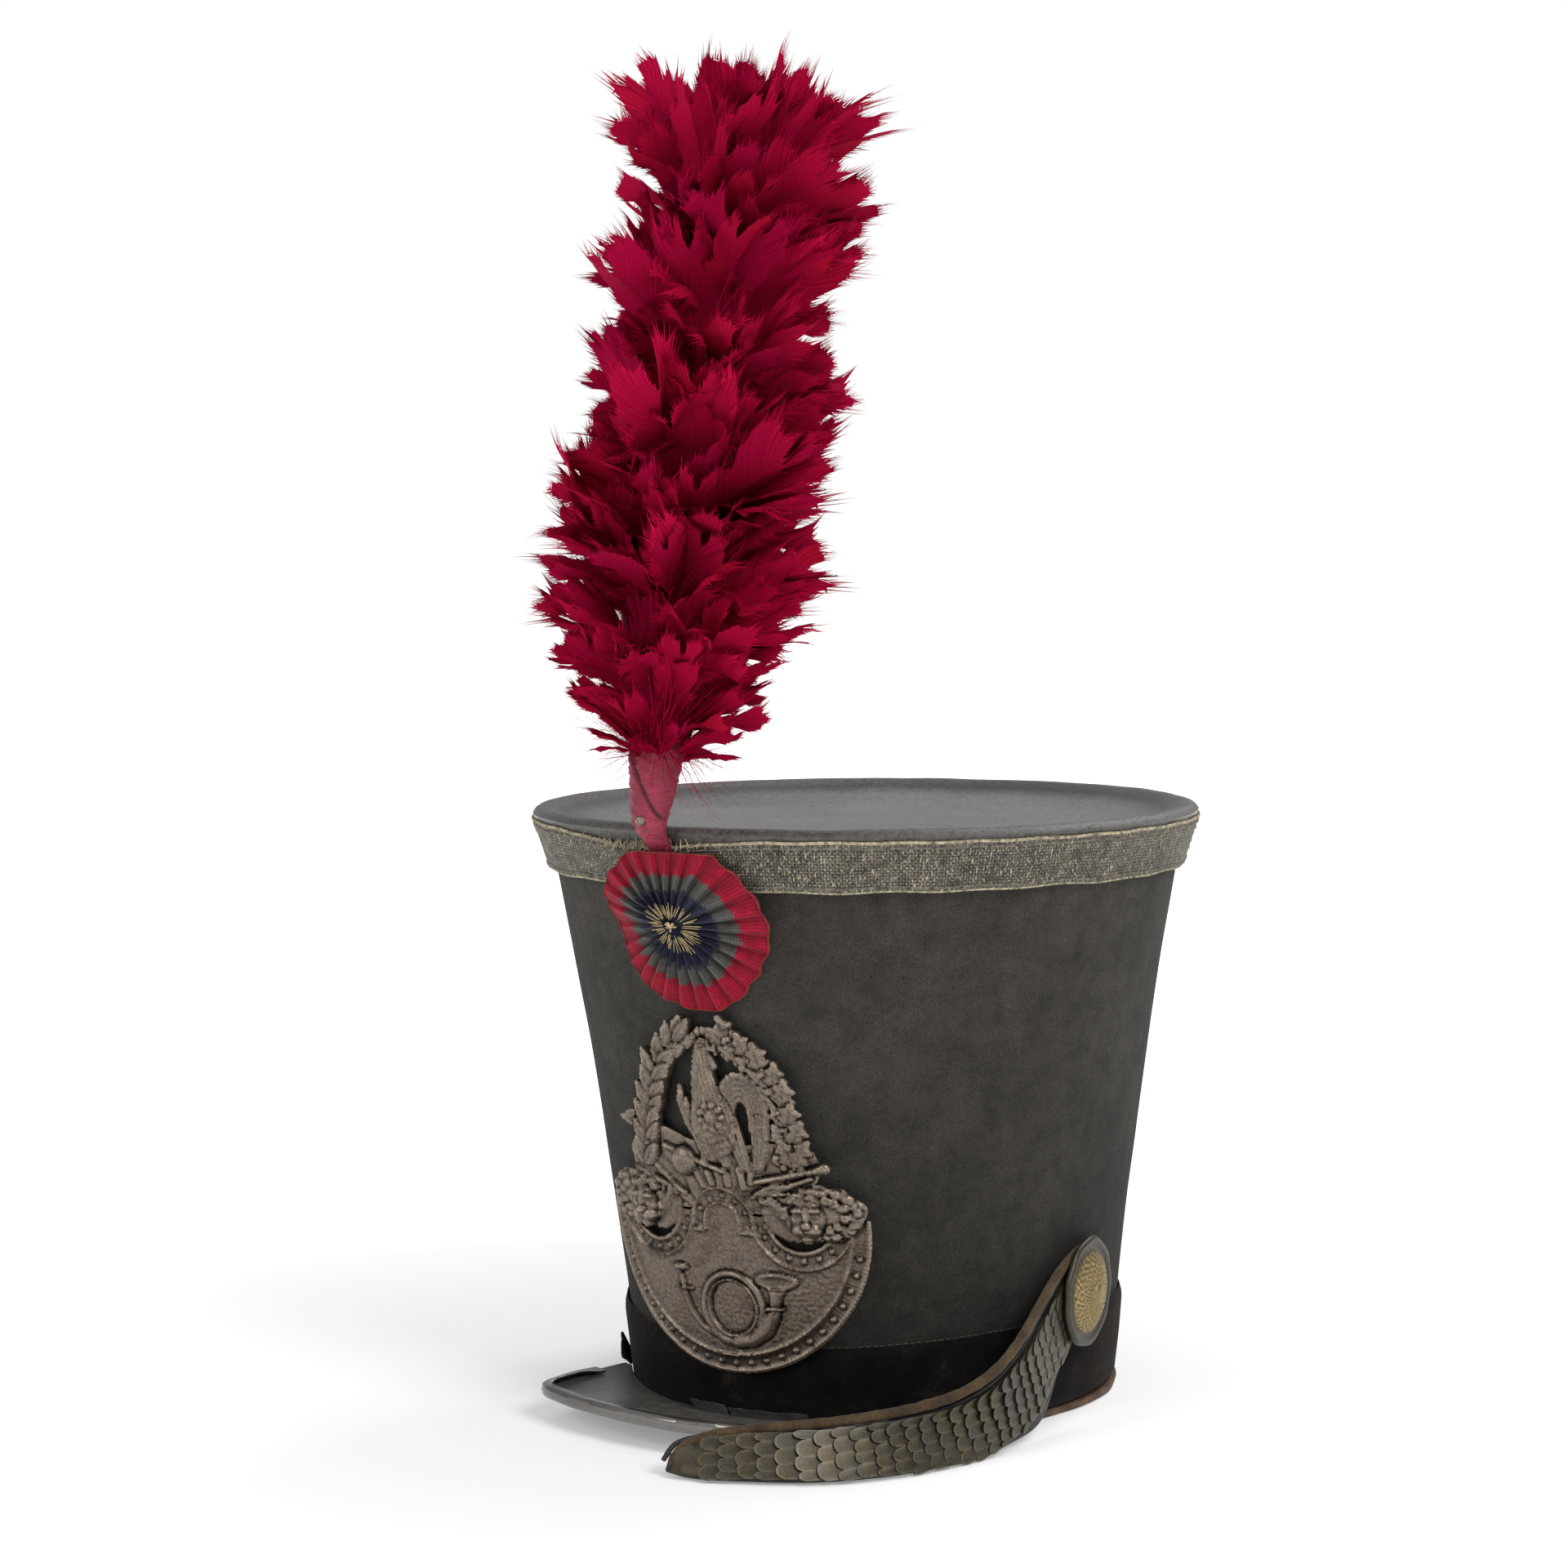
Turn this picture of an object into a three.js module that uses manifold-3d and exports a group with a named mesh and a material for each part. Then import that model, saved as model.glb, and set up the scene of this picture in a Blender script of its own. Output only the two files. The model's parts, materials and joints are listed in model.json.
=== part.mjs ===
// A shako with a feather plume, chin scales, a pierced front plate and a cockade.
// Millimetres, +Z up. The front of the hat is -Y and the wearer's left is +X.

import * as THREE from "three";
import { mergeVertices } from "three/addons/utils/BufferGeometryUtils.js";
import initManifold from "manifold-3d";

const wasm = await initManifold();
wasm.setup();

// Driving sizes of the hat. The wall is an oval that widens upwards in a slight bell.
const HAT = {
  axisY: 5.28,
  seamHeight: 34,
  seamHalfLength: 98,
  flare: 0.1136,
  bell: 0.000238,
  seamWidthRatio: 0.885,
  rimWidthRatio: 0.898,
  rimHeight: 192,
  forwardLean: 0.0324,
  facets: 40,
};
const GAP = 0.3;
const FELT = { thickness: 3, bottom: 3.2, top: 205.6 };
const VELVET = { inside: 0.35, thickness: 1.4, bottom: 3.6, seam: 31.5, seamRise: 4.5 };
const SWEATBAND = { thickness: 1.2, lipHeight: 2.9, lipOut: 1.3, top: 42 };
const TOP = { dishHeight: 207.6, underside: 206, skirtBottom: 194, skirtOut: 1.6, edgeOut: 3.6, edgeHeight: 209 };
const GALLOON = { bottom: 192.4, top: 209.6, thickness: 0.9, dip: 3.5, dipAngle: -0.14, dipSpread: 0.25 };
const PEAK = { spread: 0.944, thickness: 2.6, innerOut: 2.15, innerTop: 6.2, innerRise: 2, rimTop: 12, stations: 26 };
const BINDING = { flange: 5.5, thickness: 0.7, nose: 1.1, first: 2, last: 24 };
const BOSS = { x: 92.4, y: -14, z: 45, radius: 19.5, facets: 16 };
const STRAP = {
  backing: 1.8,
  backingEdge: 0.82,
  rollCentre: 0.915,
  rollSides: 6,
  rollStart: 34,
  steps: 22,
  scaleStart: 37,
  scalePitch: 11.6,
  scaleEdges: [0.02, 0.79],
  scaleRoot: 0.9,
  scaleTop: 2.2,
  lobes: 3,
  lobeDepth: 4,
};
const LACE = { radius: 0.9, sides: 8, steps: 12 };
const COCKADE = { u: -4, z: 179, pleats: 26, cutHeight: 205.4 };
const PLUME = { base: [-7, -137, 238.6], tip: [8, -113, 476], sides: 12 };
const SHIELD = {
  u: 0,
  z: 76,
  radius: 54,
  border: 6.4,
  biteU: 30,
  biteZ: 79,
  biteRadius: 11.5,
  archRadius: 12.6,
  archBorder: 5.2,
  hip: 72,
};

// Depth in the plate at which raised relief starts.
const RELIEF_FOOT = 0.4;

const radians = (degrees) => degrees * Math.PI / 180;
const mix = (from, to, share) => from + (to - from) * share;
const vector = (point) => new THREE.Vector3(...point);

// Half length, half width and centre of the wall's outer oval at a height.
function wallAt(height) {
  const rise = height - HAT.seamHeight;
  const share = rise / (HAT.rimHeight - HAT.seamHeight);
  const halfLength = HAT.seamHalfLength + HAT.flare * rise + HAT.bell * rise * rise;
  const halfWidth = halfLength * mix(HAT.seamWidthRatio, HAT.rimWidthRatio, share);
  return { halfLength, halfWidth, centreY: HAT.axisY - HAT.forwardLean * rise };
}

// A point on the wall: the angle starts at the front and turns to the wearer's left.
function onWall(angle, height, out, share = 1) {
  const wall = wallAt(height);
  return [
    share * (wall.halfWidth + out) * Math.sin(angle),
    wall.centreY - share * (wall.halfLength + out) * Math.cos(angle),
    height,
  ];
}

// A point on the front of the wall by its width along the wall, height and distance off the wall.
function onFront(u, height, out) {
  return onWall(u / (wallAt(height).halfWidth + 2), height, out);
}

function geometryOf(points, triangles) {
  const geometry = new THREE.BufferGeometry();
  geometry.setAttribute("position", new THREE.Float32BufferAttribute(points.flat(), 3));
  geometry.setIndex(triangles.flat());
  return geometry;
}

function signedVolume(geometry) {
  const place = geometry.attributes.position;
  const [a, b, c] = [new THREE.Vector3(), new THREE.Vector3(), new THREE.Vector3()];
  let volume = 0;
  for (let i = 0; i < geometry.index.count; i += 3) {
    a.fromBufferAttribute(place, geometry.index.getX(i));
    b.fromBufferAttribute(place, geometry.index.getX(i + 1));
    c.fromBufferAttribute(place, geometry.index.getX(i + 2));
    volume += a.dot(b.cross(c)) / 6;
  }
  return volume;
}

function facingOut(geometry) {
  if (signedVolume(geometry) < 0) {
    const index = geometry.index.array;
    for (let i = 0; i < index.length; i += 3) {
      [index[i + 1], index[i + 2]] = [index[i + 2], index[i + 1]];
    }
  }
  return geometry;
}

// Joins rows of points, each a closed loop of the same count, into a closed solid.
// The rows close on themselves as a ring, or end in a point or a flat cap at each end.
function loft(rows, { ring = false, startPoint = null, endPoint = null } = {}) {
  const count = rows[0].length;
  const points = rows.flat();
  const triangles = [];
  const last = ring ? rows.length : rows.length - 1;
  for (let row = 0; row < last; row += 1) {
    const next = (row + 1) % rows.length;
    for (let i = 0; i < count; i += 1) {
      const j = (i + 1) % count;
      const [a, b] = [row * count + i, row * count + j];
      const [c, d] = [next * count + j, next * count + i];
      triangles.push([a, b, c], [a, c, d]);
    }
  }
  if (!ring) {
    capLoop(points, triangles, rows[0], 0, startPoint, true);
    capLoop(points, triangles, rows.at(-1), (rows.length - 1) * count, endPoint, false);
  }
  return facingOut(geometryOf(points, triangles));
}

function capLoop(points, triangles, loop, offset, tip, turned) {
  const add = (a, b, c) => triangles.push(turned ? [a, c, b] : [a, b, c]);
  if (tip) {
    points.push(tip);
    const apex = points.length - 1;
    loop.forEach((_, i) => add(apex, offset + i, offset + (i + 1) % loop.length));
    return;
  }
  const flat = flatten(loop);
  for (const [a, b, c] of THREE.ShapeUtils.triangulateShape(flat, [])) {
    add(offset + a, offset + b, offset + c);
  }
}

// Turns a nearly flat loop of points into two-dimensional points in its own plane.
function flatten(loop) {
  const corners = loop.map(vector);
  const normal = new THREE.Vector3();
  corners.forEach((corner, i) => {
    normal.add(corner.clone().cross(corners[(i + 1) % corners.length]));
  });
  const side = corners[1].clone().sub(corners[0]).normalize();
  const up = normal.normalize().clone().cross(side);
  return corners.map((corner) => new THREE.Vector2(corner.dot(side), corner.dot(up)));
}

// A closed band round the hat. The profile gives [out, height] pairs for an angle.
function hatRing(profile) {
  const rows = [];
  for (let i = 0; i < HAT.facets; i += 1) {
    const angle = 2 * Math.PI * i / HAT.facets;
    rows.push(profile(angle).map(([out, height]) => onWall(angle, height, out)));
  }
  return loft(rows, { ring: true });
}

function toManifold(geometry) {
  const bare = geometry.clone();
  bare.deleteAttribute("normal");
  bare.deleteAttribute("uv");
  const merged = mergeVertices(bare, 1e-4);
  const mesh = new wasm.Mesh({
    numProp: 3,
    vertProperties: new Float32Array(merged.attributes.position.array),
    triVerts: new Uint32Array(merged.index.array),
  });
  return new wasm.Manifold(mesh);
}

function fuse(geometries) {
  let body = toManifold(geometries[0]);
  for (const geometry of geometries.slice(1)) {
    body = body.add(toManifold(geometry));
  }
  const mesh = body.getMesh();
  const geometry = new THREE.BufferGeometry();
  const place = [];
  for (let i = 0; i < mesh.numVert; i += 1) {
    place.push(...mesh.vertProperties.slice(i * mesh.numProp, i * mesh.numProp + 3));
  }
  geometry.setAttribute("position", new THREE.Float32BufferAttribute(place, 3));
  geometry.setIndex(Array.from(mesh.triVerts));
  return geometry;
}

// The felt wall of the crown, open at both ends.
function crownShell() {
  const heights = [FELT.bottom, 34, 110, FELT.top];
  return hatRing(() => [
    ...heights.map((height) => [0, height]),
    ...heights.toReversed().map((height) => [-FELT.thickness, height]),
  ]);
}

// The leather top: rows run from the dished middle over the rolled edge to the skirt and underneath.
function crownTop() {
  const rows = [
    { share: 0.8, out: 0, height: TOP.dishHeight + 0.4 },
    { share: 0.93, out: 0, height: 211.2 },
    { share: 1, out: -2.6, height: 213.6 },
    { share: 1, out: 2.2, height: 213.2 },
    { share: 1, out: 4.2, height: 211 },
    { share: 1, out: TOP.edgeOut, height: TOP.edgeHeight },
    { share: 1, out: TOP.skirtOut, height: TOP.skirtBottom },
    { share: 1, out: 0.4, height: TOP.skirtBottom },
    { share: 1, out: 0.4, height: TOP.underside },
    { share: 0.8, out: 0, height: TOP.underside },
  ];
  const loops = rows.map(({ share, out, height }) => {
    const loop = [];
    for (let i = 0; i < HAT.facets; i += 1) {
      loop.push(onWall(2 * Math.PI * i / HAT.facets, height, out, share));
    }
    return loop;
  });
  const middle = wallAt(TOP.dishHeight).centreY;
  return loft(loops, {
    startPoint: [0, middle, TOP.dishHeight],
    endPoint: [0, middle, TOP.underside],
  });
}

// How far the outside of the top's skirt stands off the wall.
function skirtOut(height) {
  const share = (height - TOP.skirtBottom) / (TOP.edgeHeight - TOP.skirtBottom);
  return mix(TOP.skirtOut, TOP.edgeOut, share);
}

// The woven band round the top edge, which sags where the plume pushes it.
function topGalloon() {
  return hatRing((angle) => {
    const turn = Math.atan2(Math.sin(angle - GALLOON.dipAngle), Math.cos(angle - GALLOON.dipAngle));
    const top = GALLOON.top - GALLOON.dip * Math.exp(-((turn / GALLOON.dipSpread) ** 2));
    const low = skirtOut(GALLOON.bottom) + GAP;
    const high = skirtOut(top) + GAP;
    return [
      [low, GALLOON.bottom],
      [low + GALLOON.thickness, GALLOON.bottom],
      [high + GALLOON.thickness, top],
      [high, top],
    ];
  });
}

function velvetBand() {
  return hatRing((angle) => {
    const seam = VELVET.seam + VELVET.seamRise * Math.sin(angle) ** 2;
    const outside = VELVET.inside + VELVET.thickness;
    return [
      [VELVET.inside, VELVET.bottom],
      [outside, VELVET.bottom],
      [outside, seam - 1.5],
      [outside - 0.8, seam],
      [VELVET.inside, seam],
    ];
  });
}

// The head band inside the wall, with the lip that is turned out under the bottom edge.
function sweatband() {
  const outside = -FELT.thickness - GAP;
  const inside = outside - SWEATBAND.thickness;
  return hatRing(() => [
    [inside, 0],
    [SWEATBAND.lipOut, 0],
    [SWEATBAND.lipOut, SWEATBAND.lipHeight],
    [outside, SWEATBAND.lipHeight],
    [outside, SWEATBAND.top],
    [inside, SWEATBAND.top],
  ]);
}

// Half of the peak's outline seen from above, from where it meets the wall to the middle of its front.
const PEAK_OUTLINE = [
  { x: 72.3, y: -57 },
  { x: 71.8, y: -72 },
  { x: 72.8, y: -97 },
  { x: 71, y: -111 },
  { x: 56, y: -121 },
  { x: 37, y: -128.4 },
  { x: 0, y: -134.8 },
];

function peakOutline() {
  const half = PEAK_OUTLINE.map(({ x, y }) => new THREE.Vector2(x, y + HAT.axisY));
  const other = half.slice(0, -1).toReversed().map((point) => new THREE.Vector2(-point.x, point.y));
  return new THREE.SplineCurve([...half, ...other]);
}

// Inner and outer points of the peak's top at each station from the wearer's left to the right.
function peakStations() {
  const outline = peakOutline();
  const stations = [];
  for (let i = 0; i <= PEAK.stations; i += 1) {
    const share = i / PEAK.stations;
    const angle = PEAK.spread * (1 - 2 * share);
    const top = PEAK.innerTop + PEAK.innerRise * (1 - 2 * share) ** 2;
    const [x, y] = onWall(angle, top, PEAK.innerOut);
    const rim = outline.getPointAt(share);
    const along = outline.getTangentAt(share);
    const outward = new THREE.Vector2(-along.y, along.x);
    if (outward.y > 0 && Math.abs(rim.x) < 40) outward.negate();
    if (outward.x * rim.x < 0 && Math.abs(rim.x) >= 40) outward.negate();
    stations.push({ inner: [x, y, top], rim: [rim.x, rim.y, PEAK.rimTop - 3 * (1 - 2 * share) ** 4], outward });
  }
  return stations;
}

function peak() {
  const rows = peakStations().map(({ inner, rim }) => [
    inner,
    rim,
    [rim[0], rim[1], rim[2] - PEAK.thickness],
    [inner[0], inner[1], inner[2] - PEAK.thickness],
  ]);
  return loft(rows);
}

// The strip folded over the peak's rim, as a C-shaped section at each station.
function peakBinding() {
  const half = PEAK.thickness / 2;
  const inside = half + GAP;
  const outside = inside + BINDING.thickness;
  const section = [
    [-BINDING.flange, outside],
    [GAP, outside],
    [GAP + BINDING.nose, 0],
    [GAP, -outside],
    [-BINDING.flange, -outside],
    [-BINDING.flange, -inside],
    [GAP, -inside],
    [GAP, inside],
    [-BINDING.flange, inside],
  ];
  const rows = peakStations().slice(BINDING.first, BINDING.last + 1).map(({ inner, rim, outward }) => {
    const reach = Math.hypot(rim[0] - inner[0], rim[1] - inner[1]);
    const slope = (rim[2] - inner[2]) / reach;
    return section.map(([out, up]) => [
      rim[0] + outward.x * out,
      rim[1] + outward.y * out,
      rim[2] - half + up + slope * out,
    ]);
  });
  return loft(rows);
}

// Distance of the plate's back off the wall: it is less curved than the wall, so its sides stand off.
function plateOut(u) {
  return VELVET.inside + VELVET.thickness + 0.4 + 2.6 * (u / SHIELD.radius) ** 2;
}

// Bends relief that was made flat, in width, height and depth, onto the front of the wall.
function bendOnPlate(geometry) {
  const bare = geometry.clone();
  bare.deleteAttribute("normal");
  bare.deleteAttribute("uv");
  const place = bare.attributes.position;
  for (let i = 0; i < place.count; i += 1) {
    const [u, z, depth] = [place.getX(i), place.getY(i), place.getZ(i)];
    place.setXYZ(i, ...onFront(u, z, plateOut(u) + depth));
  }
  return facingOut(mergeVertices(bare, 1e-4));
}

// A sheet of the plate between two depths, from pairs of points on its two long edges.
function ribbon(pairs, low, high) {
  const rows = pairs.map(([first, second]) => [
    [...first, low],
    [...first, high],
    [...second, high],
    [...second, low],
  ]);
  return bendOnPlate(loft(rows));
}

// A rounded lump of relief, flat behind.
function lump(u, z, halfWidth, halfHeight, depth, sides) {
  const ring = (share, height) => (
    oval([u, z, 0], share * halfWidth, share * halfHeight, sides).map(([x, y]) => [x, y, height])
  );
  const rows = [ring(1, RELIEF_FOOT), ring(0.8, 0.6 * depth)];
  return bendOnPlate(loft(rows, { endPoint: [u, z, depth] }));
}

// A raised rod of relief, flat behind, along a path of { u, z, radius } rows.
function rod(path, closed = false) {
  const rows = path.map(({ u, z, radius }, i) => {
    const before = path[closed ? (i + path.length - 1) % path.length : Math.max(i - 1, 0)];
    const after = path[closed ? (i + 1) % path.length : Math.min(i + 1, path.length - 1)];
    const along = new THREE.Vector2(after.u - before.u, after.z - before.z).normalize();
    const crest = RELIEF_FOOT + 0.8 + 0.7 * radius;
    return [[-1, RELIEF_FOOT], [-0.5, crest], [0.5, crest], [1, RELIEF_FOOT]].map(([share, depth]) => (
      [u - along.y * share * radius, z + along.x * share * radius, depth]
    ));
  });
  return bendOnPlate(loft(rows, { ring: closed }));
}

// A keeled leaf: a rhomb with a raised ridge.
function leaf(u, z, direction, length, halfWidth) {
  const along = [Math.cos(direction), Math.sin(direction)];
  const at = (forward, side, depth) => [
    u + along[0] * forward - along[1] * side,
    z + along[1] * forward + along[0] * side,
    depth,
  ];
  const points = [
    at(0, 0, RELIEF_FOOT),
    at(0.5 * length, halfWidth, RELIEF_FOOT),
    at(length, 0, RELIEF_FOOT),
    at(0.5 * length, -halfWidth, RELIEF_FOOT),
    at(0.45 * length, 0, 2.8),
  ];
  const triangles = [[0, 1, 4], [1, 2, 4], [2, 3, 4], [3, 0, 4], [0, 3, 2], [0, 2, 1]];
  return bendOnPlate(facingOut(geometryOf(points, triangles)));
}

// Height of a circle's lower or upper edge over a width, or a stand-in height beyond the circle.
function circleEdge(width, radius, centre, side, beyond) {
  return Math.abs(width) < radius ? centre + side * Math.sqrt(radius ** 2 - width ** 2) : beyond;
}

// The shield with its raised borders: round the foot, round two bites for the lion masks and over an arch.
// Each column is the section at one width, from the foot's border up to the top border.
function shield() {
  const { z, radius, border, biteU, biteZ, biteRadius, archRadius, archBorder, hip } = SHIELD;
  const half = [4, 7.3, 8, 11, 12.5, 12.7, 18.4, 19.4, 24, 30, 36, 40.6, 41.6, 46, 50, 53.4];
  const columns = [...half.toReversed().map((width) => -width), 0, ...half];
  const rows = columns.map((width) => {
    const fromBite = Math.abs(width) - biteU;
    const foot = circleEdge(width, radius, z, -1, z);
    const bite = circleEdge(fromBite, biteRadius, biteZ, -1, biteZ);
    const biteFoot = circleEdge(fromBite, biteRadius + border, biteZ, -1, hip);
    const top = circleEdge(width, archRadius, z, 1, bite);
    const topFoot = Math.min(circleEdge(width, archRadius - archBorder, z, 1, biteFoot), top - 1);
    const footTop = Math.min(circleEdge(width, radius - border, z, -1, z), mix(foot, top, 0.45));
    const fieldTop = Math.max(topFoot, mix(foot, top, 0.55));
    return [
      [width, foot, 0],
      [width, foot, 2],
      [width, footTop, 2],
      [width, footTop, 1.1],
      [width, fieldTop, 1.1],
      [width, fieldTop, 1.8],
      [width, top, 1.8],
      [width, top, 0],
    ];
  });
  return bendOnPlate(loft(rows));
}

// The hunting horn: a coil, a mouth pipe on the left and a bell on the right.
function hornSolids() {
  const coil = [];
  for (let i = 0; i < 16; i += 1) {
    const turn = 2 * Math.PI * i / 16;
    coil.push({ u: 2 + 11 * Math.cos(turn), z: 45.6 + 11.6 * Math.sin(turn), radius: 2 });
  }
  const mouthPipe = [
    { u: -19.5, z: 58, radius: 2.4 },
    { u: -18.6, z: 50, radius: 1.3 },
    { u: -15, z: 42, radius: 1.4 },
    { u: -7, z: 36.4, radius: 1.7 },
  ];
  const bell = [
    { u: 6, z: 35, radius: 2.2 },
    { u: 14, z: 38.6, radius: 2.6 },
    { u: 18, z: 45.5, radius: 2.9 },
    { u: 19.2, z: 52, radius: 4.2 },
    { u: 19.6, z: 57.5, radius: 7 },
  ];
  return [rod(coil, true), rod(mouthPipe), rod(bell)];
}

function lionSolids(side) {
  return [
    lump(39 * side, 81, 13.5, 9.6, 5.4, 14),
    lump(33.5 * side, 76.5, 4.8, 4.6, 7.8, 8),
  ];
}

// The trophy of flags under the rooster, with a pole each side and a ball.
function trophySolids() {
  const edges = [
    { u: -38, low: 93, high: 101 },
    { u: -29, low: 87, high: 106 },
    { u: -20.5, low: 79, high: 107 },
    { u: -12.1, low: 79, high: 104 },
    { u: -6, low: 86, high: 102 },
    { u: 0, low: 87.6, high: 102 },
    { u: 6, low: 86, high: 102 },
    { u: 12.1, low: 79, high: 102 },
    { u: 20.5, low: 79, high: 103 },
    { u: 29, low: 87, high: 104 },
    { u: 36.5, low: 92, high: 102 },
  ];
  return [
    ribbon(edges.map(({ u, low, high }) => [[u, low], [u, high]]), 0, 1.5),
    rod([{ u: -20, z: 101, radius: 1.3 }, { u: -8, z: 97.6, radius: 1.3 }, { u: 3, z: 94.5, radius: 1.3 }]),
    rod([{ u: 16, z: 91.5, radius: 1.2 }, { u: 27, z: 94, radius: 1.2 }, { u: 38, z: 96.5, radius: 1.3 }]),
    lump(-12.5, 96.6, 5, 5, 5, 9),
  ];
}

function roosterSolids() {
  const neck = [
    { u: 0.5, z: 116, radius: 9 },
    { u: -1.5, z: 127, radius: 6 },
    { u: -0.6, z: 137, radius: 3.8 },
    { u: -0.4, z: 141.5, radius: 2 },
  ];
  const tail = [
    { u: 7, z: 108, radius: 4 },
    { u: 8.6, z: 120, radius: 3.6 },
    { u: 12.6, z: 125, radius: 3.8 },
    { u: 17, z: 121, radius: 3.6 },
    { u: 18.4, z: 111, radius: 3.4 },
    { u: 17, z: 100, radius: 3 },
  ];
  const wing = [
    { u: -4, z: 104, radius: 3.2 },
    { u: -10, z: 112, radius: 4 },
    { u: -12.6, z: 119, radius: 3 },
    { u: -12, z: 123, radius: 1.4 },
  ];
  const beak = [
    { u: 0, z: 137, radius: 2 },
    { u: 4.6, z: 135.6, radius: 0.8 },
  ];
  return [lump(0.5, 110, 9.6, 12.5, 5.4, 10), rod(neck), rod(tail), rod(wing), rod(beak)];
}

// One branch of the wreath: a curved stem with pairs of leaves, laurel or oak.
function branchSolids(side, leafLength, leafHalfWidth) {
  const [centreZ, across, rise, pairs] = [106, 29.5, 35, 5];
  const at = (turn) => ({ u: side * across * Math.cos(turn), z: centreZ + rise * Math.sin(turn) });
  const [from, to] = [radians(-14), radians(82)];
  const steps = 8;
  const edge = (turn, out) => {
    const { u, z } = at(turn);
    return [u + side * out * Math.cos(turn), z + out * Math.sin(turn)];
  };
  const stem = Array.from({ length: steps + 1 }, (_, i) => {
    const turn = mix(from, to, i / steps);
    return [edge(turn, -4.6), edge(turn, 4.4)];
  });
  const solids = [ribbon(stem, 0, 1.5)];
  for (let i = 0; i < pairs; i += 1) {
    const turn = mix(from + 0.1, to, (i + 0.2) / pairs);
    const { u, z } = at(turn);
    const along = Math.atan2(rise * Math.cos(turn), -side * across * Math.sin(turn));
    solids.push(leaf(u, z, along - side * 0.62, leafLength, leafHalfWidth));
    solids.push(leaf(u, z, along + side * 0.5, leafLength, leafHalfWidth));
  }
  return solids;
}

function shakoPlate() {
  return fuse([
    shield(),
    ...trophySolids(),
    ...hornSolids(),
    ...lionSolids(1),
    ...lionSolids(-1),
    ...roosterSolids(),
    ...branchSolids(1, 11, 3.8),
    ...branchSolids(-1, 12.5, 2.9),
  ]);
}

// Radius of the cockade's crumpled outline by angle, cut straight where it is tucked in at the top.
function cockadeRadius(turn) {
  const radius = 29.6 + 2.6 * Math.cos(turn) + 1.2 * Math.sin(turn) + 0.7 * Math.sin(5 * turn + 1);
  const rise = Math.sin(turn);
  const cut = COCKADE.cutHeight - COCKADE.z;
  return rise > 0 ? Math.min(radius, cut / Math.max(rise, 1e-6)) : radius;
}

// Distance of the cockade's back off the wall: it lies on the felt and rides over the galloon's edge.
function cockadeOut(height) {
  const share = THREE.MathUtils.smoothstep(height, 172, 192);
  return mix(0.8, 7.2, share);
}

// The pleated rosette: rows of rings from the middle button to the rim and back behind.
function cockade() {
  const rows = [
    { share: 0.1, depth: 8.6, wave: 0 },
    { share: 0.13, depth: 6.4, wave: 0.2 },
    { share: 0.55, depth: 4.8, wave: 0.7 },
    { share: 1, depth: 2.4, wave: 0.9 },
    { share: 1, depth: 0, wave: 0 },
    { share: 0.5, depth: 0, wave: 0 },
  ];
  const count = COCKADE.pleats * 2;
  const at = (share, turn, depth) => {
    const radius = share * cockadeRadius(turn);
    const height = COCKADE.z + radius * Math.sin(turn);
    return onFront(COCKADE.u + radius * Math.cos(turn), height, cockadeOut(height) + depth);
  };
  const loops = rows.map(({ share, depth, wave }) => {
    const loop = [];
    for (let i = 0; i < count; i += 1) {
      loop.push(at(share, 2 * Math.PI * i / count, depth + (i % 2 ? wave : -wave)));
    }
    return loop;
  });
  return loft(loops, { startPoint: at(0, 0, 9), endPoint: at(0, 0, 0) });
}

function oval(centre, halfWidth, halfDepth, sides) {
  const loop = [];
  for (let i = 0; i < sides; i += 1) {
    const turn = 2 * Math.PI * i / sides;
    loop.push([
      centre[0] + halfWidth * Math.cos(turn),
      centre[1] + halfDepth * Math.sin(turn),
      centre[2],
    ]);
  }
  return loop;
}

// The leather socket: a flat tongue behind the cockade that opens into a round cup under the feathers.
function plumeSocket() {
  const wallY = (height, out) => onFront(PLUME.base[0], height, out)[1];
  const sections = [
    { height: 188, halfWidth: 4.5, halfDepth: 0.7, y: wallY(188, 3.6) },
    { height: 192, halfWidth: 4.5, halfDepth: 0.7, y: wallY(192, 4.6) },
    { height: 206, halfWidth: 5, halfDepth: 0.8, y: wallY(206, 5.7) },
    { height: 209, halfWidth: 6, halfDepth: 2.4, y: wallY(209, 8) },
    { height: 213, halfWidth: 7, halfDepth: 5.4, y: wallY(213, 11) },
    { height: 224, halfWidth: 8.4, halfDepth: 8, y: PLUME.base[1] + HAT.axisY - 3 },
    { height: 238, halfWidth: 10, halfDepth: 9.6, y: PLUME.base[1] + HAT.axisY },
  ];
  return loft(sections.map(({ height, halfWidth, halfDepth, y }) => (
    oval([PLUME.base[0], y, height], halfWidth, halfDepth, 14)
  )));
}

// Turns a lathe that stands on +Z so that it points along a direction from a point.
function turnedLathe(profile, facets, from, direction) {
  const loops = profile.map(([radius, height]) => oval([0, 0, height], radius, radius, facets));
  const geometry = loft(loops, {
    startPoint: [0, 0, profile[0][1]],
    endPoint: [0, 0, profile.at(-1)[1]],
  });
  const turn = new THREE.Quaternion().setFromUnitVectors(new THREE.Vector3(0, 0, 1), vector(direction).normalize());
  geometry.applyQuaternion(turn);
  geometry.translate(...from);
  return geometry;
}

function socketRivet() {
  const profile = [[2.2, 0], [2.2, 0.5], [1.2, 1.2]];
  const y = PLUME.base[1] + HAT.axisY - 11.7;
  return turnedLathe(profile, 10, [PLUME.base[0] + 2.4, y, 222.6], [0.25, -1, -0.12]);
}

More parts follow.
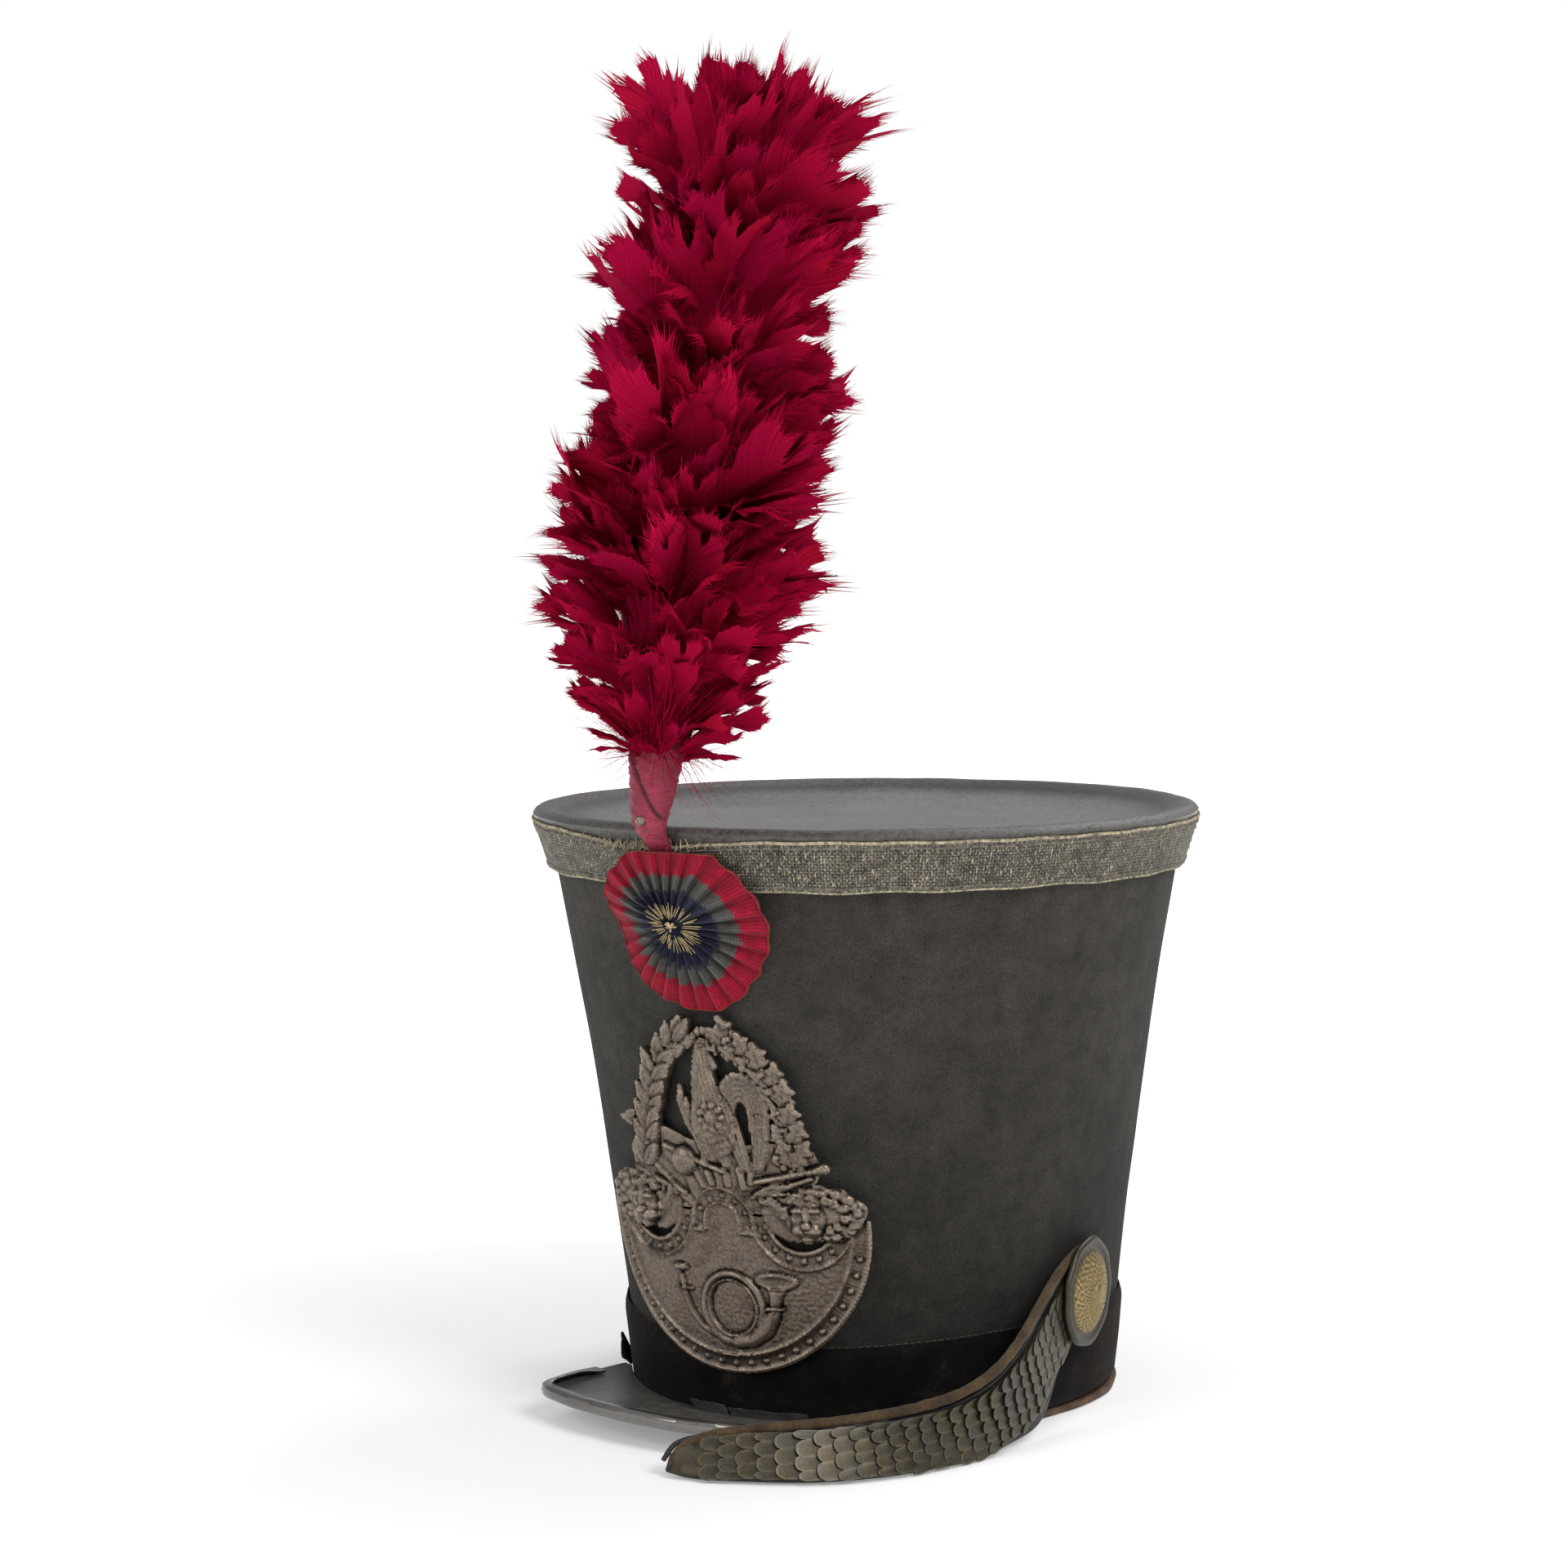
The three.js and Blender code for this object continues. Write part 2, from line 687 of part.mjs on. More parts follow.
// The feather plume: a core through the sections below, and tiers of locks fused to it.
const PLUME_SECTIONS = [
  { share: 0, radius: 9 },
  { share: 0.05, radius: 20 },
  { share: 0.2, radius: 29 },
  { share: 0.5, radius: 31 },
  { share: 0.8, radius: 32 },
  { share: 0.93, radius: 24 },
  { share: 0.99, radius: 8 },
];
const PLUME_TIERS = [
  { root: 0.05, tip: 0.16, reach: 40, locks: 6, turn: 0.1, drop: 12 },
  { root: 0.14, tip: 0.36, reach: 42, locks: 6, turn: 0.5, drop: 4 },
  { root: 0.32, tip: 0.54, reach: 44, locks: 6, turn: 0.15, drop: 0 },
  { root: 0.5, tip: 0.72, reach: 44, locks: 6, turn: 0.6, drop: 0 },
  { root: 0.66, tip: 0.88, reach: 47, locks: 6, turn: 0.25, drop: 0 },
  { root: 0.82, tip: 0.985, reach: 30, locks: 6, turn: 0.7, drop: 0 },
];

function plumeCentre(share) {
  const centre = vector(PLUME.base).lerp(vector(PLUME.tip), share);
  centre.y += HAT.axisY;
  return centre;
}

function plumeCore() {
  return loft(PLUME_SECTIONS.map(({ share, radius }) => (
    oval(plumeCentre(share).toArray(), radius, radius, PLUME.sides)
  )));
}

// One lock: a flat blade that leaves the core, swells and bends out to a point.
function plumeLock(tier, turn) {
  const outward = new THREE.Vector3(Math.cos(turn), Math.sin(turn), 0);
  const side = new THREE.Vector3(-outward.y, outward.x, 0);
  const sections = [
    { share: 0, reach: 0.45, halfWidth: 6, halfDepth: 3 },
    { share: 0.45, reach: 0.86, halfWidth: 13, halfDepth: 4 },
    { share: 0.8, reach: 1, halfWidth: 10, halfDepth: 2.4 },
  ];
  const at = (share, reach) => {
    const centre = plumeCentre(mix(tier.root, tier.tip, share));
    centre.addScaledVector(outward, tier.reach * reach);
    centre.z -= tier.drop * share;
    return centre;
  };
  const rows = sections.map(({ share, reach, halfWidth, halfDepth }) => {
    const centre = at(share, reach);
    const lean = new THREE.Vector3(outward.x, outward.y, -0.7).normalize();
    return [[1, 0], [0, 1], [-1, 0], [0, -1]].map(([across, deep]) => (
      centre.clone().addScaledVector(side, across * halfWidth).addScaledVector(lean, deep * halfDepth).toArray()
    ));
  });
  return loft(rows, { endPoint: at(1.08, 1.03).toArray() });
}

function plume() {
  const locks = PLUME_TIERS.flatMap((tier) => {
    const turns = Array.from({ length: tier.locks }, (_, i) => tier.turn + 2 * Math.PI * i / tier.locks);
    return turns.map((turn) => plumeLock(tier, turn));
  });
  return fuse([plumeCore(), ...locks]);
}

// The left chin strap's back face: its low and high edge from behind the boss to the tip.
const STRAP_STATIONS = [
  { low: [88.5, 3, 41], high: [91.2, -9, 66] },
  { low: [88.3, -14, 31.5], high: [90.4, -31, 58.5] },
  { low: [89, -31, 22], high: [90.3, -47, 49] },
  { low: [91, -50, 10.5], high: [91, -64, 39.5] },
  { low: [91, -70, 4], high: [89.5, -81, 31] },
  { low: [88.5, -88, 0.8], high: [84, -95, 25.5] },
  { low: [83.5, -106, 0.5], high: [76.5, -107, 22.5] },
  { low: [74, -126, 0.5], high: [66, -121.5, 20.5] },
  { low: [58, -144, 0.5], high: [51.5, -135.5, 19] },
  { low: [38, -154.5, 0.5], high: [33, -145, 17] },
  { low: [20, -160, 0.5], high: [17.5, -152, 12.5] },
  { low: [11, -160.5, 1.5], high: [10.5, -156, 7.5] },
];

const strapLow = new THREE.CatmullRomCurve3(STRAP_STATIONS.map(({ low }) => vector(low)), false, "centripetal");
const strapHigh = new THREE.CatmullRomCurve3(STRAP_STATIONS.map(({ high }) => vector(high)), false, "centripetal");
const strapMiddle = (share) => strapLow.getPoint(share).lerp(strapHigh.getPoint(share), 0.5);

// Shares of the strap's curves at even steps of length along its middle.
function strapLengths(steps) {
  const lengths = [0];
  for (let i = 1; i <= steps; i += 1) {
    lengths.push(lengths.at(-1) + strapMiddle(i / steps).distanceTo(strapMiddle((i - 1) / steps)));
  }
  return lengths;
}
const STRAP_LENGTHS = strapLengths(400);
const STRAP_LENGTH = STRAP_LENGTHS.at(-1);

function strapShare(length) {
  const next = STRAP_LENGTHS.findIndex((value) => value >= length);
  if (next < 0) return 1;
  if (next === 0) return 0;
  const [from, to] = [STRAP_LENGTHS[next - 1], STRAP_LENGTHS[next]];
  return (next - 1 + (length - from) / (to - from)) / (STRAP_LENGTHS.length - 1);
}

// A point of the left strap by length from its top end, share across it and distance off its back face.
function onStrap(length, across, out) {
  const share = strapShare(length);
  const low = strapLow.getPoint(share);
  const high = strapHigh.getPoint(share);
  const along = strapMiddle(Math.min(share + 0.01, 1)).sub(strapMiddle(Math.max(share - 0.01, 0)));
  const normal = high.clone().sub(low).cross(along).normalize();
  const point = low.lerp(high, across).addScaledVector(normal, out);
  return [point.x, point.y + HAT.axisY, point.z];
}

function strapBacking() {
  const rows = [];
  for (let i = 0; i <= STRAP.steps; i += 1) {
    const length = STRAP_LENGTH * i / STRAP.steps;
    rows.push([
      onStrap(length, 0, 0),
      onStrap(length, 0, STRAP.backing),
      onStrap(length, STRAP.backingEdge, STRAP.backing),
      onStrap(length, STRAP.backingEdge, 0),
    ]);
  }
  return loft(rows);
}

function strapRoll() {
  const rows = [];
  for (let i = 0; i <= STRAP.steps; i += 1) {
    const length = mix(STRAP.rollStart, STRAP_LENGTH, i / STRAP.steps);
    const loop = [];
    for (let k = 0; k < STRAP.rollSides; k += 1) {
      const turn = 2 * Math.PI * k / STRAP.rollSides;
      loop.push(onStrap(length, STRAP.rollCentre + 0.08 * Math.cos(turn), 1.4 + 1.9 * Math.sin(turn)));
    }
    rows.push(loop);
  }
  return loft(rows);
}

// The row of scales as one strip: each scale rises from its root to a lobed end that steps down on the next.
function chinScales() {
  const { scaleStart, scalePitch, scaleEdges, lobes, lobeDepth } = STRAP;
  const count = Math.floor((STRAP_LENGTH - scaleStart - lobeDepth) / scalePitch);
  const across = Array.from({ length: 2 * lobes + 1 }, (_, i) => mix(...scaleEdges, i / (2 * lobes)));
  const bottom = STRAP.backing + GAP;
  const row = (length, lobed, top) => [
    onStrap(length, scaleEdges[0], bottom),
    ...across.map((place, i) => onStrap(length + (lobed && i % 2 ? lobeDepth : 0), place, bottom + top)),
    onStrap(length, scaleEdges[1], bottom),
  ];
  const rows = [];
  for (let i = 0; i < count; i += 1) {
    const start = scaleStart + i * scalePitch;
    rows.push(row(start + 0.4, i > 0, STRAP.scaleRoot));
    rows.push(row(start + scalePitch, true, STRAP.scaleTop));
  }
  return loft(rows);
}

function boss() {
  const profile = [
    [BOSS.radius - 1.5, 0],
    [BOSS.radius, 0.7],
    [BOSS.radius - 0.4, 2.2],
    [BOSS.radius - 4.4, 1.8],
    [9, 4],
    [3.6, 5],
    [3, 6.4],
  ];
  return turnedLathe(profile, BOSS.facets, [BOSS.x, BOSS.y + HAT.axisY, BOSS.z], [1, -0.03, -0.03]);
}

// The thin lace: from the strap's tip it rises in an arc and lies down behind the strap.
const LACE_ROUTE = [
  [9.4, -160.4, 5.6],
  [10.4, -154.5, 9.8],
  [17, -148.2, 12],
  [25, -143.8, 12.4],
  [33, -141.4, 9],
  [41, -139.4, 3.4],
  [48, -134.8, 1.3],
];

function tieLace() {
  const route = LACE_ROUTE.map(([x, y, z]) => new THREE.Vector3(x, y + HAT.axisY, z));
  const path = new THREE.CatmullRomCurve3(route, false, "centripetal");
  const section = new THREE.Shape();
  for (let i = 0; i < LACE.sides; i += 1) {
    const turn = 2 * Math.PI * i / LACE.sides;
    const [x, y] = [LACE.radius * Math.cos(turn), LACE.radius * Math.sin(turn)];
    if (i === 0) section.moveTo(x, y);
    else section.lineTo(x, y);
  }
  return new THREE.ExtrudeGeometry(section, { steps: LACE.steps, extrudePath: path, bevelEnabled: false });
}

// The right side is the left one turned half round the hat's upright axis.
function turnedToRight(geometry) {
  const turned = geometry.clone();
  turned.translate(0, -HAT.axisY, 0);
  turned.rotateZ(Math.PI);
  turned.translate(0, HAT.axisY, 0);
  return turned;
}

const felt = { color: 0x33312c, roughness: 0.95, metalness: 0 };
const blackLeather = { color: 0x3a3a3c, roughness: 0.45, metalness: 0 };
const braid = { color: 0x6b6862, roughness: 0.7, metalness: 0.3 };
const velvet = { color: 0x141213, roughness: 1, metalness: 0 };
const brownLeather = { color: 0x7a5a3a, roughness: 0.7, metalness: 0 };
const tarnishedSilver = { color: 0x6d635c, roughness: 0.45, metalness: 0.9 };
const scaleMetal = { color: 0x8c8577, roughness: 0.4, metalness: 0.9 };
const redRibbon = { color: 0xa3182a, roughness: 0.85, metalness: 0 };
const redLeather = { color: 0x8c2f45, roughness: 0.6, metalness: 0 };
const feather = { color: 0x9b0a2a, roughness: 0.8, metalness: 0 };
const brownPile = { color: 0x6b4f2b, roughness: 1, metalness: 0 };
const blackCord = { color: 0x17161a, roughness: 0.8, metalness: 0 };

const shako = new THREE.Group();
shako.name = "shako";

function addPiece(name, geometry, finish) {
  const mesh = new THREE.Mesh(geometry, new THREE.MeshStandardMaterial(finish));
  mesh.name = name;
  shako.add(mesh);
}

function addPair(name, geometry, finish) {
  addPiece(`${name}_left`, geometry, finish);
  addPiece(`${name}_right`, turnedToRight(geometry), finish);
}

addPiece("crown_shell", crownShell(), felt);
addPiece("crown_top", crownTop(), blackLeather);
addPiece("top_galloon", topGalloon(), braid);
addPiece("velvet_band", velvetBand(), velvet);
addPiece("sweatband", sweatband(), brownLeather);
addPiece("peak", peak(), blackLeather);
addPiece("peak_binding", peakBinding(), tarnishedSilver);
addPiece("shako_plate", shakoPlate(), tarnishedSilver);
addPiece("cockade", cockade(), redRibbon);
addPiece("plume_socket", plumeSocket(), redLeather);
addPiece("socket_rivet", socketRivet(), tarnishedSilver);
addPiece("plume", plume(), feather);
addPair("boss", boss(), scaleMetal);
addPair("strap_backing", strapBacking(), blackLeather);
addPair("strap_roll", strapRoll(), brownPile);
addPair("chin_scales", chinScales(), scaleMetal);
addPair("tie_lace", tieLace(), blackCord);

export default shako;
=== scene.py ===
"""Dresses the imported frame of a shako: felt crown, leather top, plate, cockade, plume and chin scales.

Sizes inside the script are in millimetres and are turned to metres where a mesh is made.
The front of the hat is -Y, the wearer's left is +X, and the hat stands on z = 0.
"""

import json
import math

import bpy
import numpy as np
from mathutils import Matrix, Vector

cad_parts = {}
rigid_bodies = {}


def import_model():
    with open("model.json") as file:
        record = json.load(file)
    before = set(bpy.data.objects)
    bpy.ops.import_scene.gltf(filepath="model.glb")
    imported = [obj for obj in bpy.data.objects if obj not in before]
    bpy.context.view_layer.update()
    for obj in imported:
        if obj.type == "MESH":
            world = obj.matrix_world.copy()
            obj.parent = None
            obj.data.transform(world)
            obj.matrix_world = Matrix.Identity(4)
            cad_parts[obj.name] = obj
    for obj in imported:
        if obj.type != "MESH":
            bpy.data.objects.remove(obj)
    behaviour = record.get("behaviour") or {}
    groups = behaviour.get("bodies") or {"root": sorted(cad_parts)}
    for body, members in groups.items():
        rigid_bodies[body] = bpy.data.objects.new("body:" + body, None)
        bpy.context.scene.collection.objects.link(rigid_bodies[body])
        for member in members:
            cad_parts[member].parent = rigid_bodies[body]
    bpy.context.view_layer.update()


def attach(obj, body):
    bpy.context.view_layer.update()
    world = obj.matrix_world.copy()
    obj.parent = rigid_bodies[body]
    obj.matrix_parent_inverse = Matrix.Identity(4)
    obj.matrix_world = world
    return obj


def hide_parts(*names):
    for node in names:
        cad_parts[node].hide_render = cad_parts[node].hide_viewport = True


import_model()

bl_info = {
    "name": "Shako with plume",
    "version": (1, 0, 0),
    "blender": (4, 5, 0),
    "location": "3D View > Sidebar > Shako",
    "description": "Dresses the packed frame of a shako with felt, leather, metal, ribbon and feathers",
    "category": "Object",
}

MM = 0.001
TURN = 2 * math.pi

# The hat's upright axis, the wall's shape from its seam to its rim, and the angle at which the plume stands
AXIS_Y = 5.28
SEAM_HEIGHT = 34.0
RIM_HEIGHT = 192.0
SEAM_HALF_LENGTH = 98.0
WALL_FLARE = 0.1136
WALL_BELL = 0.000238
WALL_RAKE = 0.0324
SEAM_OVAL = 0.885
RIM_OVAL = 0.898
PLUME_ANGLE = -0.14

# The photo's camera: lens and sensor in millimetres, place in metres
PHOTO_LENS = 88.44
PHOTO_SENSOR = 36.0
CAMERA_PLACE = (0.6818, -1.2176, 0.3203)
CAMERA_FORWARD = (-0.5063, 0.8593, -0.0716)


def linear(hex_colour):
    """The linear colour of an sRGB hex value, with full opacity."""
    shares = [int(hex_colour[i:i + 2], 16) / 255 for i in (1, 3, 5)]
    return [c / 12.92 if c <= 0.04045 else ((c + 0.055) / 1.055) ** 2.4 for c in shares] + [1.0]


def per_mm(size):
    """The scale of a texture whose features are that many millimetres wide."""
    return 1.0 / (size * MM)


def mix(start, end, share):
    return start + (end - start) * share


def smoothstep(value, low, high):
    share = np.clip((value - low) / (high - low), 0.0, 1.0)
    return share * share * (3 - 2 * share)


def full_turn(count):
    """Angles of that many even steps round a full turn."""
    return np.arange(count) * TURN / count


# The hat's wall


def wall_at(height):
    """Half width, half length and centre of the wall's outer oval at a height."""
    rise = np.asarray(height, float) - SEAM_HEIGHT
    half_length = SEAM_HALF_LENGTH + WALL_FLARE * rise + WALL_BELL * rise ** 2
    half_width = half_length * mix(SEAM_OVAL, RIM_OVAL, rise / (RIM_HEIGHT - SEAM_HEIGHT))
    return half_width, half_length, AXIS_Y - WALL_RAKE * rise


def on_wall(angle, height, out, share=1.0):
    """Points on the wall. The angle starts at the front and turns to the wearer's left."""
    half_width, half_length, centre = wall_at(height)
    x = share * (half_width + out) * np.sin(angle)
    y = centre - share * (half_length + out) * np.cos(angle)
    return np.stack(np.broadcast_arrays(x, y, np.asarray(height, float)), -1)


def on_front(u, height, out):
    """Points on the front of the wall by width along it, height and distance off it."""
    return on_wall(np.asarray(u) / (wall_at(height)[0] + 2), height, out)


def outward_at(angle):
    """The level direction away from the hat at an angle round it."""
    return np.array([math.sin(angle), -math.cos(angle), 0.0])


def to_right_side(points):
    """Turns points of the left side half round the hat's upright axis."""
    turned = np.array(points, float)
    turned[..., 0] *= -1
    turned[..., 1] = 2 * AXIS_Y - turned[..., 1]
    return turned


# Meshes


def grid(shape, close_rows=False, close_columns=False):
    """Quads over rows and columns of points, with each corner's row and column before wrapping."""
    rows, columns = shape
    row, column = np.meshgrid(
        np.arange(rows if close_rows else rows - 1),
        np.arange(columns if close_columns else columns - 1),
        indexing="ij",
    )
    corner_rows = np.stack([row, row, row + 1, row + 1], -1).reshape(-1, 4)
    corner_columns = np.stack([column, column + 1, column + 1, column], -1).reshape(-1, 4)
    faces = corner_rows % rows * columns + corner_columns % columns
    return faces, corner_rows, corner_columns


def signed_volume(points, faces):
    """Six times the volume that faces enclose, negative where they point inwards."""
    total = 0.0
    for count in {len(face) for face in faces}:
        corners = points[np.array([face for face in faces if len(face) == count])]
        for i in range(1, count - 1):
            total += np.sum(corners[:, 0] * np.cross(corners[:, i], corners[:, i + 1]))
    return total


def faced_out(points, faces):
    """Faces of a closed mesh, turned over if they point inwards."""
    return [face[::-1] for face in faces] if signed_volume(points, faces) < 0 else faces


def lofted(loops, start=None, end=None):
    """Points and outward faces through closed loops of points, which end in points or flat caps."""
    loops = np.asarray(loops, float)
    rows, columns = loops.shape[:2]
    points = loops.reshape(-1, 3)
    faces = grid((rows, columns), close_columns=True)[0].tolist()
    first_ring = list(range(columns))[::-1]
    last_ring = list(range((rows - 1) * columns, rows * columns))
    for tip, ring in ((start, first_ring), (end, last_ring)):
        if tip is None:
            faces.append(ring)
            continue
        points = np.vstack([points, tip])
        apex = len(points) - 1
        faces += [[ring[i], ring[(i + 1) % columns], apex] for i in range(columns)]
    return points, faced_out(points, faces)


def mesh_from(name, points, faces, corner_uv=None, values=None, sharp=40):
    """A smooth mesh from points in millimetres, with its corners' UV and its points' values if given."""
    mesh = bpy.data.meshes.new(name)
    mesh.from_pydata((np.asarray(points) * MM).tolist(), [], faces)
    if corner_uv is not None:
        layer = mesh.uv_layers.new(name="UVMap")
        layer.data.foreach_set("uv", np.asarray(corner_uv, np.float32).ravel())
    for key, numbers in (values or {}).items():
        attribute = mesh.attributes.new(key, "FLOAT", "POINT")
        attribute.data.foreach_set("value", np.asarray(numbers, np.float32).ravel())
    mesh.validate()
    mesh.shade_smooth()
    mesh.set_sharp_from_angle(angle=math.radians(sharp))
    return mesh


def piece(name, mesh, material, slot, *nodes):
    """Shows a mesh as a piece of the hat, which rides on its body and stands for the named CAD nodes."""
    made = bpy.data.objects.new(name, mesh)
    bpy.context.scene.collection.objects.link(made)
    if material:
        mesh.materials.clear()
        mesh.materials.append(material)
    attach(made, "root")
    if nodes:
        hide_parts(*nodes)
    return made


def joined(parts):
    """One list of points and faces from several."""
    points, faces, count = [], [], 0
    for part_points, part_faces in parts:
        points.append(np.asarray(part_points, float))
        faces += [[count + i for i in face] for face in part_faces]
        count += len(part_points)
    return np.vstack(points), faces


def dense_curve(route, steps):
    """Points on a centripetal Catmull-Rom curve through a route, with that many steps between its points."""
    route = np.asarray(route, float)
    ends = [2 * route[0] - route[1], *route, 2 * route[-1] - route[-2]]
    dense = []
    for p0, p1, p2, p3 in zip(ends, ends[1:], ends[2:], ends[3:]):
        gaps = [np.linalg.norm(after - before) ** 0.5 for before, after in ((p0, p1), (p1, p2), (p2, p3))]
        t0, t1, t2, t3 = np.cumsum([0.0, *gaps])
        t = np.linspace(t1, t2, steps, endpoint=False)[:, None]

        def between(start, end, low, high):
            return (high - t) / (high - low) * start + (t - low) / (high - low) * end

        first, second, third = between(p0, p1, t0, t1), between(p1, p2, t1, t2), between(p2, p3, t2, t3)
        dense.append(between(between(first, second, t0, t2), between(second, third, t1, t3), t1, t2))
    return np.vstack([*dense, route[-1:]])


def lengths_along(points):
    """The length from the first point to each point of a line."""
    return np.concatenate([[0], np.cumsum(np.linalg.norm(np.diff(points, axis=0), axis=1))])


def at_lengths(points, lengths, wanted):
    """Points of a line at wanted lengths, where the lengths of its own points are given."""
    return np.stack([np.interp(wanted, lengths, points[:, k]) for k in range(points.shape[1])], -1)


def smooth_curve(route, count):
    """Points at even lengths on a smooth curve through a route."""
    dense = dense_curve(route, 24)
    lengths = lengths_along(dense)
    return at_lengths(dense, lengths, np.linspace(0, lengths[-1], count))


def ring_mesh(name, points, corner_uv=None, values=None, sharp=40):
    """A mesh from closed rows of points round the hat, each row a full turn and the rows a closed section."""
    faces = grid(points.shape[:2], close_rows=True, close_columns=True)[0].tolist()
    flat = points.reshape(-1, 3)
    if signed_volume(flat, faces) < 0:
        faces = [face[::-1] for face in faces]
        if corner_uv is not None:
            corner_uv = corner_uv[:, ::-1]
    return mesh_from(name, flat, faces, corner_uv, values, sharp)


def rough(points, seed, size):
    """Smooth noise from -1 to 1 at points, with features of that many millimetres."""
    rng = np.random.default_rng(seed)
    total = np.zeros(points.shape[:-1])
    for octave in range(1, 4):
        for _ in range(5):
            direction = rng.normal(size=3)
            direction *= TURN * octave / (size * np.linalg.norm(direction))
            total += np.sin(points @ direction + rng.uniform(0, TURN)) / octave
    return total / 5


# Nodes


def add(tree, kind, values=None, output=None, stops=(), **settings):
    """Adds a node with its settings, colour stops and links, and gives its named or first output in use.

    Values fill its inputs by name or identifier, and a value that is a socket is linked.
    """
    made = tree.nodes.new(kind)
    for name, value in settings.items():
        setattr(made, name, value)
    elements = made.color_ramp.elements if stops else ()
    while len(elements) < len(stops):
        elements.new(0.5)
    for element, (place, colour) in zip(elements, stops):
        element.position = place
        element.color = linear(colour) if isinstance(colour, str) else np.broadcast_to(colour, 4)
    for name, value in (values or {}).items():
        socket = next(s for s in made.inputs if s.enabled and name in (s.name, s.identifier))
        if isinstance(value, bpy.types.NodeSocket):
            tree.links.new(value, socket)
        else:
            socket.default_value = value
    return next((s for s in made.outputs if s.enabled and output in (None, s.name)), None)


class Finish:
    """A material in the making: its nodes, its surface shader and the patterns that it has so far."""

    def __init__(self, name, roughness, **constants):
        self.material = bpy.data.materials.new(name)
        self.material.use_nodes = True
        self.tree = self.material.node_tree
        self.tree.nodes.clear()
        surface = add(self.tree, "ShaderNodeBsdfPrincipled", {"Roughness": roughness})
        self.shader = surface.node
        for socket, value in constants.items():
            self.shader.inputs[socket.replace("_", " ")].default_value = value
        add(self.tree, "ShaderNodeOutputMaterial", {"Surface": surface})
        self.place = add(self.tree, "ShaderNodeTexCoord", output="Object")
        self.made = {}

    def pattern(self, source):
        """The socket of a pattern.

        It is given as a socket, a mesh attribute's name, or a noise's size in mm, detail and roughness.
        """
        if isinstance(source, bpy.types.NodeSocket):
            return source
        if source not in self.made:
            if isinstance(source, str):
                made = add(self.tree, "ShaderNodeAttribute", output="Fac", attribute_name=source)
            else:
                size, detail, roughness = source
                made = add(self.tree, "ShaderNodeTexNoise", {
                    "Vector": self.place, "Scale": per_mm(size), "Detail": detail, "Roughness": roughness,
                })
            self.made[source] = made
        return self.made[source]

    def layered(self, *layers):
        """The colour of layers from the ground up, each with how it is laid on, its pattern and its stops.

        A ground has no way of laying. A number multiplies what is below by that share, and a colour or
        a socket is painted on where the stops are bright.
        """
        colour = None
        for laid, source, stops in layers:
            shade = add(self.tree, "ShaderNodeValToRGB", {"Fac": self.pattern(source)}, stops=stops)
            if laid is None:
                colour = shade
            elif isinstance(laid, float):
                values = {"Factor": laid, "A": colour, "B": shade}
                colour = add(self.tree, "ShaderNodeMix", values, data_type="RGBA", blend_type="MULTIPLY")
            else:
                values = {"Factor": shade, "A": colour, "B": linear(laid) if isinstance(laid, str) else laid}
                colour = add(self.tree, "ShaderNodeMix", values, data_type="RGBA")
        return colour

    def finished(self, colour, bump=None, depth=0.2, strength=0.6, shine=None, low=0.3, high=0.6):
        """The material with its colour, a bump by a pattern in millimetres and roughness by a pattern."""
        self.tree.links.new(colour, self.shader.inputs["Base Color"])
        if bump is not None:
            values = {"Height": self.pattern(bump), "Distance": depth * MM, "Strength": strength}
            self.tree.links.new(add(self.tree, "ShaderNodeBump", values), self.shader.inputs["Normal"])
        if shine is not None:
            values = {"Value": self.pattern(shine), "From Min": 0.3, "From Max": 0.7}
            values.update({"To Min": low, "To Max": high})
            self.tree.links.new(add(self.tree, "ShaderNodeMapRange", values), self.shader.inputs["Roughness"])
        return self.material


# Finishes


def tones(colour, *stops):
    """Colour stops in shades of one colour, each by its place and its share of that colour's brightness."""
    return [(place, [min(c * share, 1.0) for c in colour[:3]] + [1.0]) for place, share in stops]


def felt_finish(colour):
    """Dark wool felt, worn and dusty: matt, with short fibres and faint lighter rubs, and painted shade that
    darkens it towards its foot.

    Its fibres are drawn about four times their real width so that they show.
    """
    made = Finish("wool felt, worn", 0.95, Sheen_Weight=0.03, Sheen_Roughness=0.6, Specular_IOR_Level=0.12)
    fibres = (0.5, 3, 0.75)
    tone = made.layered(
        (None, (50, 5, 0.6), tones(colour, (0.3, 0.78), (0.52, 1), (0.75, 1.25))),
        # painted shade: the felt darkens towards its foot by its share of the height
        (1.0, "rise", [(0.0, 0.4), (0.45, 0.8), (1.0, 1.1)]),
        (0.7, (9, 6, 0.65), [(0.3, 0.6), (0.7, 1.4)]),
        (1.0, fibres, [(0.35, 0.5), (0.65, 1.55)]),
    )
    return made.finished(tone, fibres, 0.4, 0.7)


def top_leather_finish():
    """Blackened cowhide, waxed: grained and glossy, with painted shade on the inner slope of the dish and a
    painted reflection lighter over its middle, and with brown spots where it has worn.
    """
    made = Finish("blackened cowhide, waxed", 0.4, Specular_IOR_Level=0.5)
    creases = (2.2, 5, 0.75)
    tone = made.layered(
        # painted light by the dish: painted shade on its inner slope and a lighter painted reflection over
        # its middle
        (None, "dish", [(0.0, "#4a4743"), (0.35, "#262423"), (1.0, "#6a6867")]),
        (0.6, (50, 4, 0.6), [(0.3, 0.75), (0.7, 1.25)]),
        ("#9a7b4e", (9, 6, 0.75), [(0.66, 0.0), (0.71, 0.85)]),
        (0.9, creases, [(0.3, 0.35), (0.7, 1.55)]),
    )
    return made.finished(tone, creases, 0.5, 0.9, creases, 0.2, 0.42)


